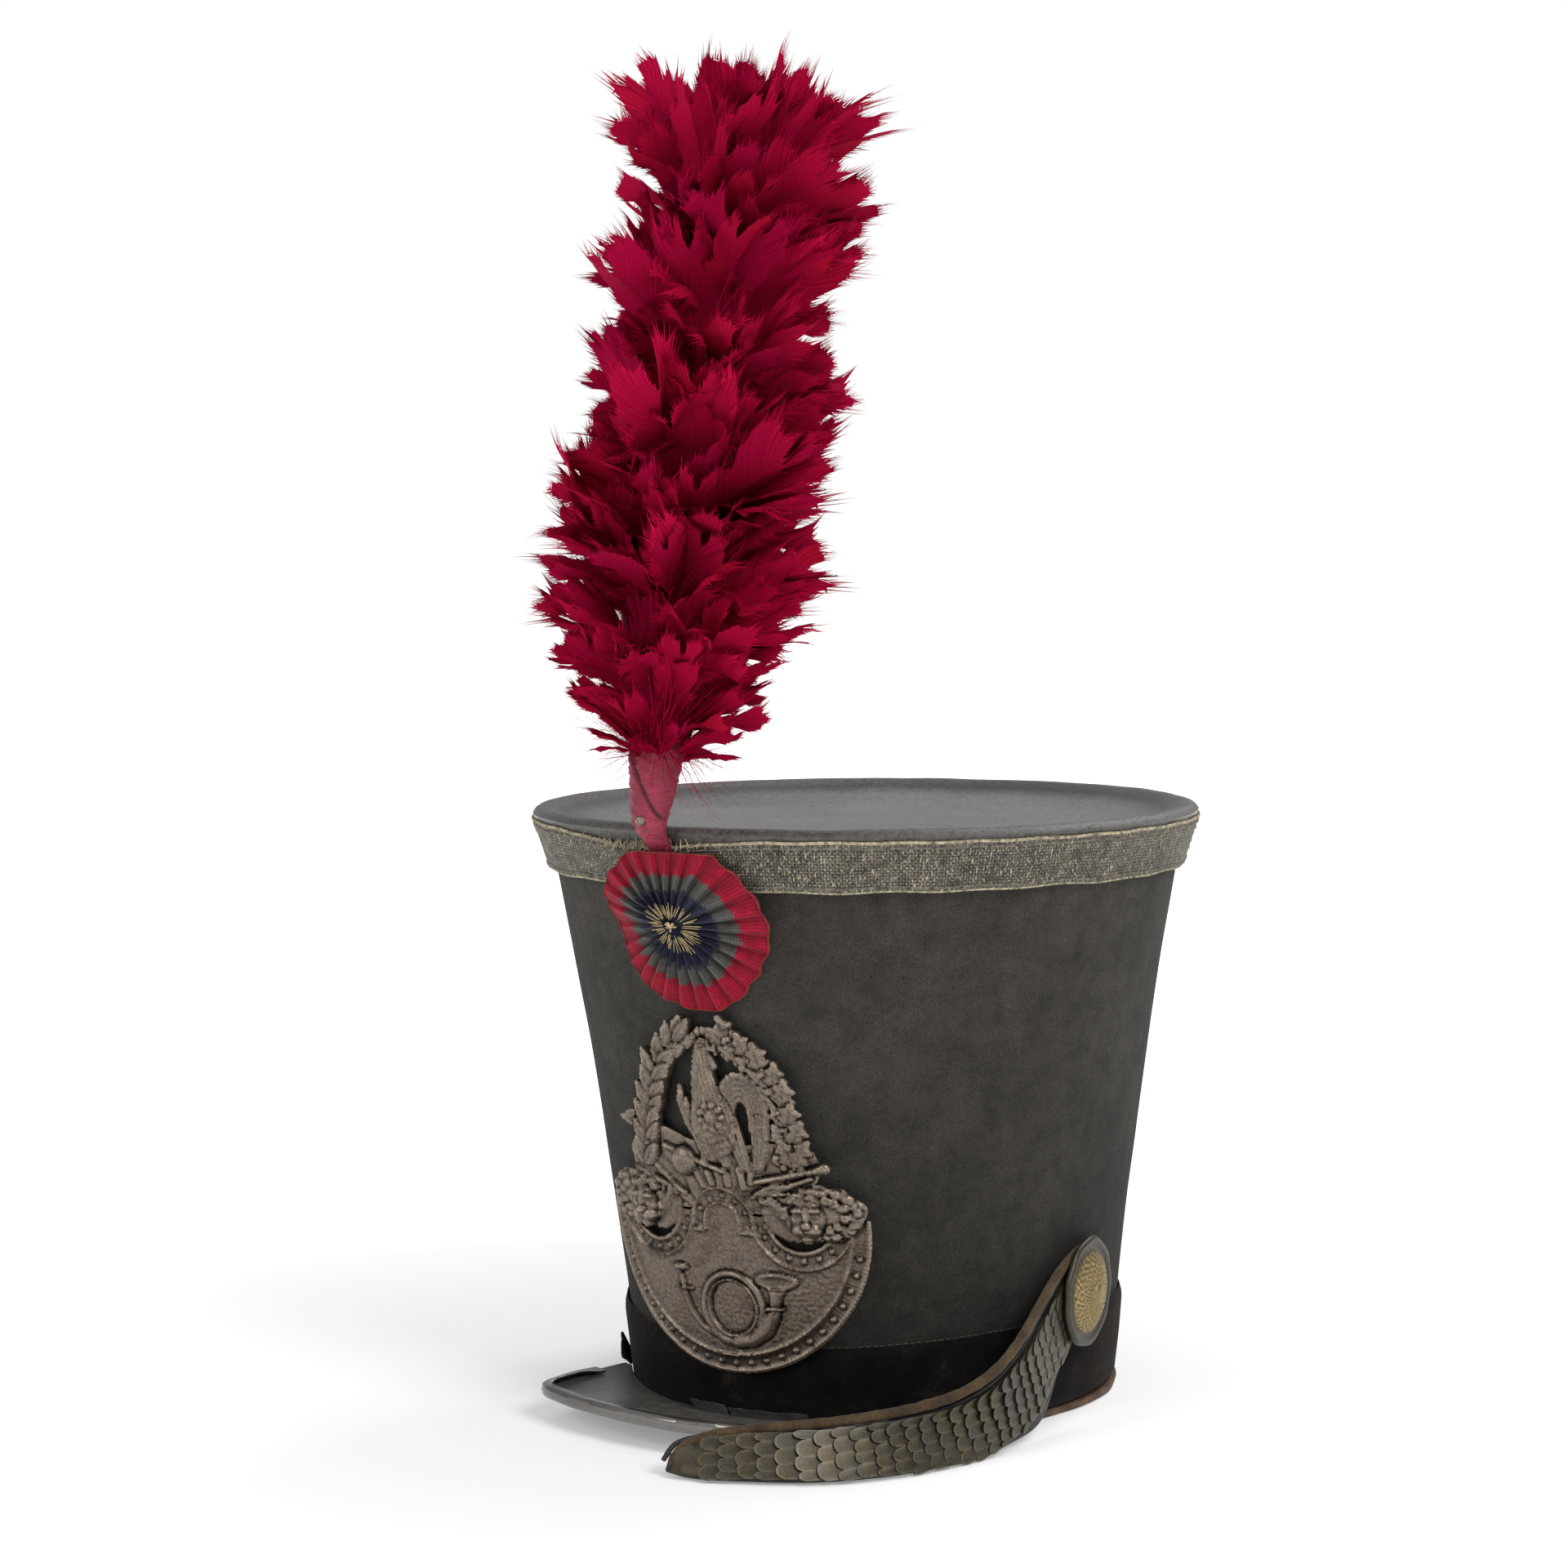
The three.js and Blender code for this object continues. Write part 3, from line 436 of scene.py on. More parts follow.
def peak_leather_finish():
    """Stiff varnished leather, greyed: smooth and scuffed along the wear of its edge."""
    made = Finish("varnished leather, greyed", 0.5, Specular_IOR_Level=0.5)
    scuffs = (4, 7, 0.75)
    tone = made.layered(
        (None, (40, 4, 0.6), [(0.3, "#4a4744"), (0.7, "#67635f")]),
        ("#8b8883", scuffs, [(0.5, 0.0), (0.75, 0.5)]),
    )
    return made.finished(tone, scuffs, 0.2, 0.6, scuffs, 0.2, 0.5)


def strap_leather_finish():
    """Black strap leather, dry: half matt, with cracks across its bend."""
    made = Finish("black strap leather, dry", 0.5, Specular_IOR_Level=0.4)
    cracks = (1.8, 6, 0.75)
    tone = made.layered((None, cracks, [(0.3, "#131112"), (0.6, "#221f1f"), (0.8, "#39332d")]))
    return made.finished(tone, cracks, 0.3)


def braid_finish(silver, core):
    """Galloon of tarnished silver thread: a fine diaper, with the core threads bare where it has worn.

    Its UV map is in millimetres, along the band and up it. The threads are drawn about twice
    their real width so that they show.
    """
    made = Finish("tarnished silver galloon, woven", 0.6, Metallic=0.2, Specular_IOR_Level=0.2)
    tree = made.tree
    cloth = add(tree, "ShaderNodeUVMap", uv_map="UVMap")
    along = add(tree, "ShaderNodeSeparateXYZ", {"Vector": cloth})
    across = along.node.outputs["Y"]
    zigzag = add(tree, "ShaderNodeMath", {"Value": along, "Value_001": 2.6}, operation="PINGPONG")
    slants = []
    for sign in ("ADD", "SUBTRACT"):
        slant = add(tree, "ShaderNodeMath", {"Value": across, "Value_001": zigzag}, operation=sign)
        slants.append(add(tree, "ShaderNodeMath", {"Value": slant, "Value_001": 0.9}, operation="PINGPONG"))
    diaper = add(tree, "ShaderNodeMath", {"Value": slants[0], "Value_001": slants[1]}, operation="MINIMUM")
    picks = add(tree, "ShaderNodeMath", {"Value": along, "Value_001": 0.5}, operation="PINGPONG")
    rows = add(tree, "ShaderNodeMath", {"Value": across, "Value_001": 0.55}, operation="PINGPONG")
    weave = add(tree, "ShaderNodeMath", {"Value": picks, "Value_001": rows}, operation="ADD")
    turned = {"Vector": cloth, "Rotation": (0, 0, 0.35), "Scale": (1.5, 0.36, 1)}
    slanted = add(tree, "ShaderNodeMapping", turned)
    flecks = add(tree, "ShaderNodeTexNoise", {"Vector": slanted, "Scale": 1, "Detail": 3, "Roughness": 0.6})
    tone = made.layered(
        (None, diaper, tones(silver, (0.05, 0.45), (0.3, 1), (0.7, 1.25))),
        (0.9, weave, [(0.15, 0.3), (0.85, 1.5)]),
        (1.0, (0.7, 4, 0.8), [(0.35, 0.2), (0.65, 1.8)]),
        (0.9, (4.5, 4, 0.7), [(0.35, 0.5), (0.65, 1.45)]),
        (0.6, (30, 3, 0.5), [(0.3, 0.6), (0.7, 1.1)]),
        (core, flecks, [(0.6, 0.0), (0.66, 0.95)]),
    )
    return made.finished(tone, weave, 0.35, 0.8)


def velvet_finish():
    """Black silk velvet: a short pile, darkest face on, with a faint brown bloom at glancing angles."""
    made = Finish(
        "black silk velvet", 0.95, Sheen_Weight=0.3, Sheen_Roughness=0.4, Sheen_Tint=linear("#6b6058"),
        Specular_IOR_Level=0.1,
    )
    pile = (0.8, 3, 0.7)
    tone = made.layered(
        (None, (14, 5, 0.65), [(0.35, "#0b0a0a"), (0.58, "#161312"), (0.8, "#332c26")]),
        (0.8, pile, [(0.3, 0.4), (0.75, 1.6)]),
    )
    return made.finished(tone, pile, 0.4, 0.8)


def brown_leather_finish():
    """Tan sheepskin, rubbed: matt brown, darker with use."""
    made = Finish("tan sheepskin, rubbed", 0.75)
    grain = (0.9, 4, 0.7)
    tone = made.layered(
        (None, (7, 6, 0.7), [(0.3, "#2e2013"), (0.55, "#5a412a"), (0.8, "#80623f")]),
        (0.6, grain, [(0.3, 0.5), (0.7, 1.3)]),
    )
    return made.finished(tone, grain)


def plate_finish(colour):
    """Stamped sheet brass, silvered and tarnished: brown-grey tarnish in the hollows and brighter rubbed
    crests, made stronger by painted shade in the grooves and painted highlights on the crests.
    """
    made = Finish("silvered brass, tarnished", 0.42, Metallic=0.8)
    stains, specks = (11, 5, 0.65), (0.9, 4, 0.75)
    tone = made.layered(
        # crest: tarnish in the hollows and rubbed crests, with painted shade in the grooves and painted
        # highlights on the crests
        (None, "crest", tones(colour, (0.1, 0.2), (0.5, 0.9), (0.9, 1.6))),
        (0.9, stains, [(0.3, "#8d8177"), (0.5, "#d8cdc4"), (0.72, "#b6b6bd")]),
        (0.9, specks, [(0.3, 0.35), (0.7, 1.6)]),
    )
    return made.finished(tone, specks, 0.14, 0.6, stains, 0.24, 0.44)


def scale_finish(silver, brass):
    """Sheet brass scales, silvered: grey, with yellow showing where the silver has rubbed through."""
    made = Finish("silvered brass scales, rubbed", 0.45, Metallic=0.75)
    specks = (1.1, 4, 0.75)
    # crest, set on each scale, holds painted shade at its root and a lighter rim that is partly a painted
    # highlight
    bare = made.layered((None, "crest", tones(brass, (0.15, 0.3), (0.5, 0.8), (0.9, 1.6))))
    tone = made.layered(
        (None, "crest", tones(silver, (0.15, 0.3), (0.5, 0.85), (0.9, 1.45))),
        (bare, (10, 4, 0.6), [(0.42, 0.0), (0.66, 0.8)]),
        (0.6, specks, [(0.3, 0.45), (0.7, 1.35)]),
    )
    return made.finished(tone, specks, 0.12, 0.6, specks, 0.34, 0.55)


def boss_finish(silver, brass):
    """Cast brass boss, silvered: bare yellow brass on its rayed face, grey silver on its rim."""
    made = Finish("silvered brass boss, rubbed", 0.42, Metallic=0.8)
    specks = (0.8, 4, 0.75)
    bare = made.layered((None, "crest", tones(brass, (0.1, 0.16), (0.5, 1), (0.95, 2.4))))
    tone = made.layered(
        (None, "crest", tones(silver, (0.1, 0.3), (0.5, 0.7), (0.9, 1.2))),
        (bare, "bare", [(0.0, 0.0), (1.0, 1.0)]),
        (0.7, specks, [(0.3, 0.4), (0.7, 1.4)]),
    )
    return made.finished(tone, specks, 0.12, 0.6)


def binding_finish():
    """Rolled white-metal strip, dulled: grey with dark scratches along the rim."""
    made = Finish("white metal strip, dulled", 0.38, Metallic=0.85)
    scratches = (2.2, 6, 0.75)
    tone = made.layered(
        (None, (35, 2, 0.5), [(0.3, "#5f5c59"), (0.7, "#8b8885")]),
        (0.35, scratches, [(0.3, 0.5), (0.7, 1.3)]),
    )
    return made.finished(tone, scratches, 0.03, 0.4, scratches, 0.16, 0.28)


def ribbon_finish(red, stripe, middle):
    """Wool and silk ribbon, pleated: red edge, faded silver stripe and navy middle, ribbed both ways.

    Its points hold the share of the way from the middle to the rim, the count of pleats round it
    and how high they lie in their pleat.
    """
    made = Finish(
        "ribbed ribbon, faded", 0.85, Sheen_Weight=0.08, Sheen_Roughness=0.5, Specular_IOR_Level=0.15,
    )
    tree = made.tree
    share, ragged, pleat = made.pattern("rim_share"), made.pattern((1.5, 3, 0.6)), made.pattern("pleat")
    scalloped = {"Value": made.pattern("crest"), "Value_001": -0.1, "Value_002": share}
    scallops = add(tree, "ShaderNodeMath", scalloped, operation="MULTIPLY_ADD")
    wandering = {"Value": ragged, "Value_001": 0.16, "Value_002": scallops}
    shift = add(tree, "ShaderNodeMath", wandering, operation="MULTIPLY_ADD")
    rings = add(tree, "ShaderNodeMath", {"Value": share, "Value_001": 0.016}, operation="PINGPONG")
    rays = add(tree, "ShaderNodeMath", {"Value": pleat, "Value_001": 0.09}, operation="PINGPONG")
    crossed = {"Value": rings, "Value_001": 5.5, "Value_002": rays}
    ribs = add(tree, "ShaderNodeMath", crossed, operation="MULTIPLY_ADD")
    faded = (5, 5, 0.7)
    edge_band, stripe_band = (
        made.layered((None, faded, tones(colour, (0.3, 0.6), (0.55, 1), (0.8, 1.5))))
        for colour in (red, stripe)
    )
    tone = made.layered(
        (None, faded, tones(middle, (0.3, 0.5), (0.55, 1), (0.8, 1.7))),
        (stripe_band, shift, [(0.49, 0.0), (0.52, 1.0)]),
        (edge_band, shift, [(0.71, 0.0), (0.73, 1.0)]),
        (0.75, ribs, [(0.03, 0.4), (0.16, 1.25)]),
        # painted shade in the pleats' valleys and a painted highlight on their crests
        (0.85, "crest", [(0.1, 0.3), (0.5, 0.85), (0.95, 1.3)]),
    )
    return made.finished(tone, ribs, 0.5, 0.5)


def thread_finish(name, light, dark):
    """Twisted sewing thread: matt, with a twist too fine to show, so drawn as noise."""
    made = Finish(name, 0.8, Specular_IOR_Level=0.2)
    return made.finished(made.layered((None, (1.5, 3, 0.5), [(0.3, dark), (0.7, light)])))


def red_leather_finish(colour):
    """Dyed morocco leather: dusky red, with fine slanting wrinkles and a painted shadow as a dark line along
    the edge of its lap.
    """
    made = Finish("red morocco leather", 0.5, Specular_IOR_Level=0.4)
    turned = {"Vector": made.place, "Rotation": (0.0, 0.7, 0.0), "Scale": (1.0, 1.0, 3.2)}
    slanted = add(made.tree, "ShaderNodeMapping", turned)
    values = {"Vector": slanted, "Scale": per_mm(2.4), "Detail": 5, "Roughness": 0.7}
    wrinkles = add(made.tree, "ShaderNodeTexNoise", values)
    tone = made.layered(
        (None, (7, 4, 0.5), tones(colour, (0.3, 0.75), (0.7, 1.25))),
        (0.8, wrinkles, [(0.3, 0.5), (0.7, 1.4)]),
        # seam: a painted shadow along the edge of the folded flap
        (1.0, "seam", [(0.1, 1.0), (0.8, 0.15)]),
    )
    return made.finished(tone, wrinkles, 0.5, 0.9)


def feather_finish(colour, deep):
    """Dyed cock feathers: matt crimson, scarlet in places, with lines along the barbs, painted shade towards
    the quill and a painted glow of light through the barbs towards their tips.

    The barbs are drawn about twice their real width so that they show.
    """
    made = Finish("dyed cock feathers", 0.8, Specular_IOR_Level=0.02)
    tree, along = made.tree, made.pattern("line")
    counted = add(tree, "ShaderNodeMath", {"Value": along, "Value_001": 1.6}, operation="MULTIPLY")
    barbs = add(tree, "ShaderNodeTexNoise", {"W": counted, "Scale": 1, "Detail": 2}, noise_dimensions="1D")
    # by barb: painted shade towards the quill and a painted glow of light through the thin barbs towards the
    # tips
    deepest = made.layered((None, "barb", tones(deep, (0.0, 0.8), (0.3, 1), (1.0, 1.1))))
    tone = made.layered(
        (None, "barb", tones(colour, (0.0, 0.85), (0.25, 0.95), (1.0, 1.05))),
        ("#a5131f", (26, 2, 0.5), [(0.5, 0.0), (0.66, 0.55)]),
        (deepest, "shade", [(0.1, 0.0), (0.9, 1.0)]),
        (0.9, barbs, [(0.3, 0.5), (0.7, 1.3)]),
    )
    return made.finished(tone)


def pile_finish(colour):
    """Brown chamois, rolled and padded: matt nap."""
    made = Finish(
        "brown chamois, padded", 0.95, Sheen_Weight=0.1, Sheen_Roughness=0.6, Specular_IOR_Level=0.15,
    )
    nap = (1.0, 4, 0.75)
    tone = made.layered(
        (None, (9, 4, 0.5), tones(colour, (0.3, 0.5), (0.55, 1), (0.8, 1.5))),
        (0.8, nap, [(0.3, 0.4), (0.7, 1.4)]),
    )
    return made.finished(tone, nap, 0.4, 0.8)


def lace_finish():
    """Waxed black lace: a thin twisted cord with a slight shine."""
    made = Finish("waxed black lace", 0.5)
    strands = (1.2, 3, 0.5)
    return made.finished(made.layered((None, strands, [(0.3, "#0d0d10"), (0.7, "#25232a")])), strands)


# Geometry Nodes


CORD_SPACING = 2.5


def new_tree(name, sockets):
    """A Geometry Nodes tree with named inputs, and its input sockets."""
    tree = bpy.data.node_groups.new(name, "GeometryNodeTree")
    tree.is_modifier = True
    for socket, kind in sockets:
        tree.interface.new_socket(socket, in_out="INPUT", socket_type=f"NodeSocket{kind}")
    tree.interface.new_socket("Geometry", in_out="OUTPUT", socket_type="NodeSocketGeometry")
    return tree, add(tree, "NodeGroupInput").node.outputs


def end_tree(tree, shapes, finish):
    """Ends a tree by making its instances real and setting their material."""
    whole = add(tree, "GeometryNodeRealizeInstances", {"Geometry": shapes})
    add(tree, "NodeGroupOutput", {
        "Geometry": add(tree, "GeometryNodeSetMaterial", {"Geometry": whole, "Material": finish}),
    })
    return tree


def scatter_tree():
    """Instances shapes on points, which hold their turn, stretch and kind. Each copy gets its own shade."""
    tree, given = new_tree("scattered shapes", (
        ("Geometry", "Geometry"), ("Shapes", "Collection"), ("Seed", "Int"), ("Finish", "Material"),
    ))
    shapes = add(tree, "GeometryNodeCollectionInfo", {
        "Collection": given["Shapes"], "Separate Children": True, "Reset Children": True,
    })
    named = {}
    for name, kind in (("turn", "FLOAT_VECTOR"), ("stretch", "FLOAT_VECTOR"), ("kind", "INT")):
        named[name] = add(tree, "GeometryNodeInputNamedAttribute", {"Name": name}, data_type=kind)
    rotation = add(tree, "FunctionNodeEulerToRotation", {"Euler": named["turn"]})
    copies = add(tree, "GeometryNodeInstanceOnPoints", {
        "Points": given["Geometry"], "Instance": shapes, "Pick Instance": True,
        "Instance Index": named["kind"], "Rotation": rotation, "Scale": named["stretch"],
    })
    shade = add(tree, "FunctionNodeRandomValue", {"Seed": given["Seed"]}, data_type="FLOAT")
    values = {"Geometry": copies, "Name": "shade", "Value": shade}
    toned = add(tree, "GeometryNodeStoreNamedAttribute", values, data_type="FLOAT", domain="INSTANCE")
    return end_tree(tree, toned, given["Finish"])


def cord_tree():
    """Sweeps a round cord along the edges of a mesh."""
    tree, given = new_tree("swept cord", (
        ("Geometry", "Geometry"), ("Radius", "Float"), ("Spacing", "Float"), ("Finish", "Material"),
    ))
    path = add(tree, "GeometryNodeMeshToCurve", {"Mesh": given["Geometry"]})
    even = add(tree, "GeometryNodeResampleCurve", {"Curve": path, "Length": given["Spacing"]}, mode="LENGTH")
    profile = add(tree, "GeometryNodeCurvePrimitiveCircle", {"Resolution": 8, "Radius": given["Radius"]})
    cord = add(tree, "GeometryNodeCurveToMesh", {"Curve": even, "Profile Curve": profile, "Fill Caps": True})
    return end_tree(tree, cord, given["Finish"])


def tree_named(maker, name):
    return bpy.data.node_groups.get(name) or maker()


def made_by(tree, source, inputs):
    """The plain mesh that a node tree makes from a source mesh, with inputs given by name."""
    holder = bpy.data.objects.new("holder", source)
    bpy.context.scene.collection.objects.link(holder)
    modifier = holder.modifiers.new("shapes", "NODES")
    modifier.node_group = tree
    for item in tree.interface.items_tree:
        if item.in_out == "INPUT" and item.name in inputs:
            modifier[item.identifier] = inputs[item.name]
    graph = bpy.context.evaluated_depsgraph_get()
    mesh = bpy.data.meshes.new_from_object(holder.evaluated_get(graph), depsgraph=graph)
    holder.modifiers.remove(modifier)
    bpy.data.objects.remove(holder)
    return mesh


def scattered(places, turns, stretches, kinds, shapes, material, seed=0):
    """A plain mesh of shapes set at places in millimetres, by the tree of scattered shapes."""
    source = bpy.data.meshes.new("points")
    source.from_pydata((np.asarray(places) * MM).tolist(), [], [])
    for name, kind, key, numbers in (
        ("turn", "FLOAT_VECTOR", "vector", turns),
        ("stretch", "FLOAT_VECTOR", "vector", stretches),
        ("kind", "INT", "value", kinds),
    ):
        attribute = source.attributes.new(name, kind, "POINT")
        number_type = np.int32 if kind == "INT" else np.float32
        attribute.data.foreach_set(key, np.asarray(numbers, number_type).ravel())
    group = bpy.data.collections.new("shapes")
    bpy.context.scene.collection.children.link(group)
    for i, shape in enumerate(shapes):
        group.objects.link(bpy.data.objects.new(f"shape_{i:02d}", shape))
    inputs = {"Shapes": group, "Seed": seed, "Finish": material}
    mesh = made_by(tree_named(scatter_tree, "scattered shapes"), source, inputs)
    for made in list(group.objects):
        bpy.data.objects.remove(made)
    bpy.data.collections.remove(group)
    return mesh


def swept(paths, radius, material):
    """A plain mesh of cords of one radius along closed paths of points in millimetres."""
    points, edges, count = [], [], 0
    for path in paths:
        edges += [(count + i, count + (i + 1) % len(path)) for i in range(len(path))]
        points.append(np.asarray(path))
        count += len(path)
    source = bpy.data.meshes.new("paths")
    source.from_pydata((np.vstack(points) * MM).tolist(), edges, [])
    inputs = {"Radius": radius * MM, "Spacing": CORD_SPACING * MM, "Finish": material}
    mesh = made_by(tree_named(cord_tree, "swept cord"), source, inputs)
    mesh.shade_smooth()
    return mesh


def euler_of(across, facing, along):
    """The Euler turn that takes X, Y and Z to three directions."""
    return Matrix((across, facing, along)).transposed().to_euler()


def frame_of(along, facing):
    """Right-handed unit directions: across, facing and along, with facing squared up to along."""
    along = np.asarray(along, float) / np.linalg.norm(along)
    facing = np.asarray(facing, float) - np.dot(facing, along) * along
    facing /= np.linalg.norm(facing)
    return np.cross(facing, along), facing, along


def bar_shape():
    """A short rounded bar along Z, two millimetres long and one across."""
    loops = []
    turn = full_turn(6)
    for height, radius in ((-1.0, 0.2), (-0.8, 0.42), (0.0, 0.5), (0.8, 0.42), (1.0, 0.2)):
        loops.append(np.stack([radius * np.cos(turn), radius * np.sin(turn), np.full(6, height)], -1))
    return mesh_from("bar", *lofted(loops))


def threads(places, turns, stretches, material):
    """A plain mesh of short bars of thread set at places in millimetres."""
    return scattered(places, turns, stretches, np.zeros(len(places), int), [bar_shape()], material)


# Crown


def felt_wall_mesh():
    """The felt wall, open at both ends and slightly dented outside."""
    foot, top, thick = 3.2, 205.6, 3.0
    height = np.concatenate([np.linspace(foot, top, 40), np.linspace(top, foot, 14)])[:, None]
    out = np.concatenate([np.zeros(40), np.full(14, -thick)])[:, None]
    angles = full_turn(200)
    flat = on_wall(angles, height, out)
    dents = np.where(out < -1, 0.0, -0.3 - 0.3 * np.clip(rough(flat, 3, 90), -1, 1))
    rise = np.broadcast_to((height - foot) / (top - foot), flat.shape[:2])
    # rise, the share of the height, carries the painted shade towards the foot in the felt's finish
    return ring_mesh("felt_wall", on_wall(angles, height, out + dents), values={"rise": rise})


def leather_top_mesh():
    """The dished top with its rolled edge and the skirt that grips the wall."""
    rows = [
        (8, 0, 207.2), (40, 0, 207.3), (65, 0, 207.6), (80, 0, 208.3), (91, 0, 210.4), (96, 0, 212.4),
        (100, -1.6, 213.7), (100, 1.6, 213.6), (100, 3.8, 212.4), (100, 4.4, 210.8), (100, 3.6, 208.6),
        (100, 2.6, 202), (100, 1.7, 194.6), (100, 1, 194), (100, 0.4, 194.6), (100, 0.4, 205.4),
        (99, 0, 206), (80, 0, 206), (8, 0, 206),
    ]
    profile = smooth_curve(rows, 110)
    angles = full_turn(180)
    share, out, height = (profile[:, k, None] for k in range(3))
    loops = on_wall(angles, height, out, share / 100)
    loops[..., 2] += np.where(height > 206.5, 0.35 * rough(loops, 8, 45), 0)
    middle = float(wall_at(207)[2])
    points, faces = lofted(loops, start=[0, middle, 207.2], end=[0, middle, 206])
    # dish: 0 on the rim and the skirt, rising to 1 in the middle of the top; the finish paints shade and a
    # reflection by it
    floor = np.where(out > 0.2, 0, smoothstep(100 - share, 0, 17)) + 0 * angles
    dish = np.append(floor.ravel(), [1, 1])
    return mesh_from("leather_top", points, faces, values={"dish": dish})


def head_band_mesh():
    """The head band inside the wall, with its lip turned out under the bottom edge and uneven."""
    angles = full_turn(180)
    bulge = np.exp(-((angles - 1.85) / 0.32) ** 2)
    rows = []
    for out, height, lip in (
        (-4.5, 0, 0), (-1.5, 0, 0), (0.6, 0, 0.6), (1.3, 0.5, 1), (1.5, 1.6, 1), (1.2, 2.6, 1),
        (0.4, 2.9, 0.5), (-3.2, 2.9, 0), (-3.3, 12, 0), (-3.3, 28, 0), (-3.3, 42, 0), (-4.5, 42, 0),
        (-4.5, 28, 0), (-4.5, 12, 0),
    ):
        uneven = lip * (1.5 * bulge + 0.35 * np.sin(17 * angles) * np.sin(5 * angles + 1))
        rows.append(on_wall(angles, height, out + uneven))
    return ring_mesh("head_band", np.array(rows), sharp=60)


def velvet_seam(angles):
    """Height of the velvet's top edge, which is higher at the sides."""
    return 31.5 + 4.5 * np.sin(angles) ** 2


def velvet_mesh():
    """The velvet band: a soft, slightly puffed strip round the foot of the wall."""
    angles = full_turn(220)
    share = np.linspace(0, 1, 16)[:, None]
    height = 3.6 + (velvet_seam(angles) - 3.6) * share
    flat = on_wall(angles, height, 1.75)
    soft = 0.22 * np.sin(math.pi * share) ** 0.7 + 0.12 * np.clip(rough(flat, 21, 26), -1, 1)
    edge = smoothstep(share, 0.9, 1.0) * 1.0 + smoothstep(-share, -0.06, 0.0) * 0.6
    outside = on_wall(angles, height, 1.72 + soft - edge)
    inside = on_wall(angles, height[::-5], 0.35)
    return ring_mesh("velvet", np.concatenate([outside, inside]), sharp=70)


def seam_stitches_mesh(pitch, material):
    """Running stitches along the velvet's top edge, each a short slanting bar of thread."""
    mean_radius = 92.0
    angles = np.arange(0, TURN, pitch / mean_radius)
    places, after = (on_wall(turn, velvet_seam(turn) + 0.5, 0.55) for turn in (angles, angles + 0.01))
    turns = []
    for angle, here, there in zip(angles, places, after):
        outward = outward_at(angle)
        turns.append(euler_of(*frame_of(there - here, outward)))
    stretches = np.tile([0.34, 0.3, 0.95], (len(angles), 1))
    return threads(places, turns, stretches, material)


class SHAKO_OT_crown(bpy.types.Operator):
    """Makes the felt wall, the leather top, the head band and the velvet band with its stitched seam"""

    bl_idname = "shako.crown"
    bl_label = "Crown"

    def execute(self, context):
        sizes, colours = context.scene.shako_sizes, context.scene.shako_colours
        piece("felt_wall", felt_wall_mesh(), felt_finish(colours.felt), "felt", "crown_shell")
        piece("leather_top", leather_top_mesh(), top_leather_finish(), "black_leather", "crown_top")
        piece("head_band", head_band_mesh(), brown_leather_finish(), "brown_leather", "sweatband")
        piece("velvet", velvet_mesh(), velvet_finish(), "velvet", "velvet_band")
        thread = thread_finish("olive linen thread", "#5d5747", "#3a372e")
        stitches = seam_stitches_mesh(sizes.seam_stitch_pitch / MM, thread)
        piece("seam_stitches", stitches, None, "velvet")
        return {"FINISHED"}


# Galloon


def skirt_out(height):
    """How far the outside of the top's skirt stands off the wall."""
    return mix(1.6, 3.6, (height - 194) / 15)


def galloon_edges(angles):
    """Heights of the galloon's lower and upper edge, which sags where the plume pushes it down."""
    turn = np.angle(np.exp(1j * (angles - PLUME_ANGLE)))
    low = 192.6 + 0.35 * np.sin(9 * angles + 1) * np.sin(4 * angles) + 0.25 * np.sin(23 * angles)
    high = 209.4 - 3.5 * np.exp(-((turn / 0.25) ** 2)) + 0.15 * np.sin(31 * angles)
    return low, high


def galloon_mesh():
    """The woven band round the top edge."""
    columns, mean_radius, width = 360, 112, 17
    angles = full_turn(columns)
    low, high = galloon_edges(angles)
    share = np.concatenate([np.linspace(0, 1, 14), [1, 0.5, 0]])[:, None]
    raised = np.concatenate([np.full(14, 0.9), np.zeros(3)])[:, None]
    height = low + (high - low) * share
    points = on_wall(angles, height, skirt_out(height) + 0.32 + raised)
    _, rows, corner_columns = grid(points.shape[:2], close_rows=True, close_columns=True)
    along = corner_columns * TURN / columns * mean_radius
    across = share[rows % len(share), 0] * width
    return ring_mesh("galloon", points, np.stack([along, across], -1), sharp=50)


def galloon_cord_paths():
    """The lines of the bright cords along the galloon's two edges."""
    angles = full_turn(300)
    low, high = galloon_edges(angles)
    return [
        on_wall(angles, high + 0.1, skirt_out(high) + 0.95),
        on_wall(angles, high - 1.7, skirt_out(high - 1.7) + 1.2),
        on_wall(angles, low + 0.1, skirt_out(low) + 1.0),
        on_wall(angles, low + 1.4, skirt_out(low + 1.4) + 1.2),
    ]


def loose_threads(rng):
    """Places, turns and stretches of the frayed threads by the plume and of pulled threads round the band."""
    places, turns, stretches = [], [], []
    for i in range(620):
        near = i < 150
        angle = rng.normal(PLUME_ANGLE, 0.085) if near else rng.uniform(0, TURN)
        low, high = galloon_edges(np.array([angle]))
        fall = rng.choice([rng.uniform(0.1, 0.9), 0.06 + 0.2 * rng.uniform() ** 2, 0.94])
        height = high[0] + rng.normal(0.2, 0.7) if near else mix(high[0], low[0], fall)
        off = 1.6 + rng.uniform(0, 1.6) if near else 1.4
        places.append(on_wall(angle, height, skirt_out(height) + off))
        outward = outward_at(angle)
        sideways = np.array([math.cos(angle), math.sin(angle), 0.0])
        lean = rng.normal(0, 1.0) if near else rng.normal(0, 0.25)
        along = np.array([0, 0, 1.0]) + lean * sideways + (rng.normal(0, 0.5) if near else 0) * outward
        turns.append(euler_of(*frame_of(along, outward + 0.01)))
        length = rng.uniform(0.8, 2.2) if near else rng.uniform(0.4, 1.3)
        stretches.append([0.36, 0.3, length])
    return places, turns, stretches


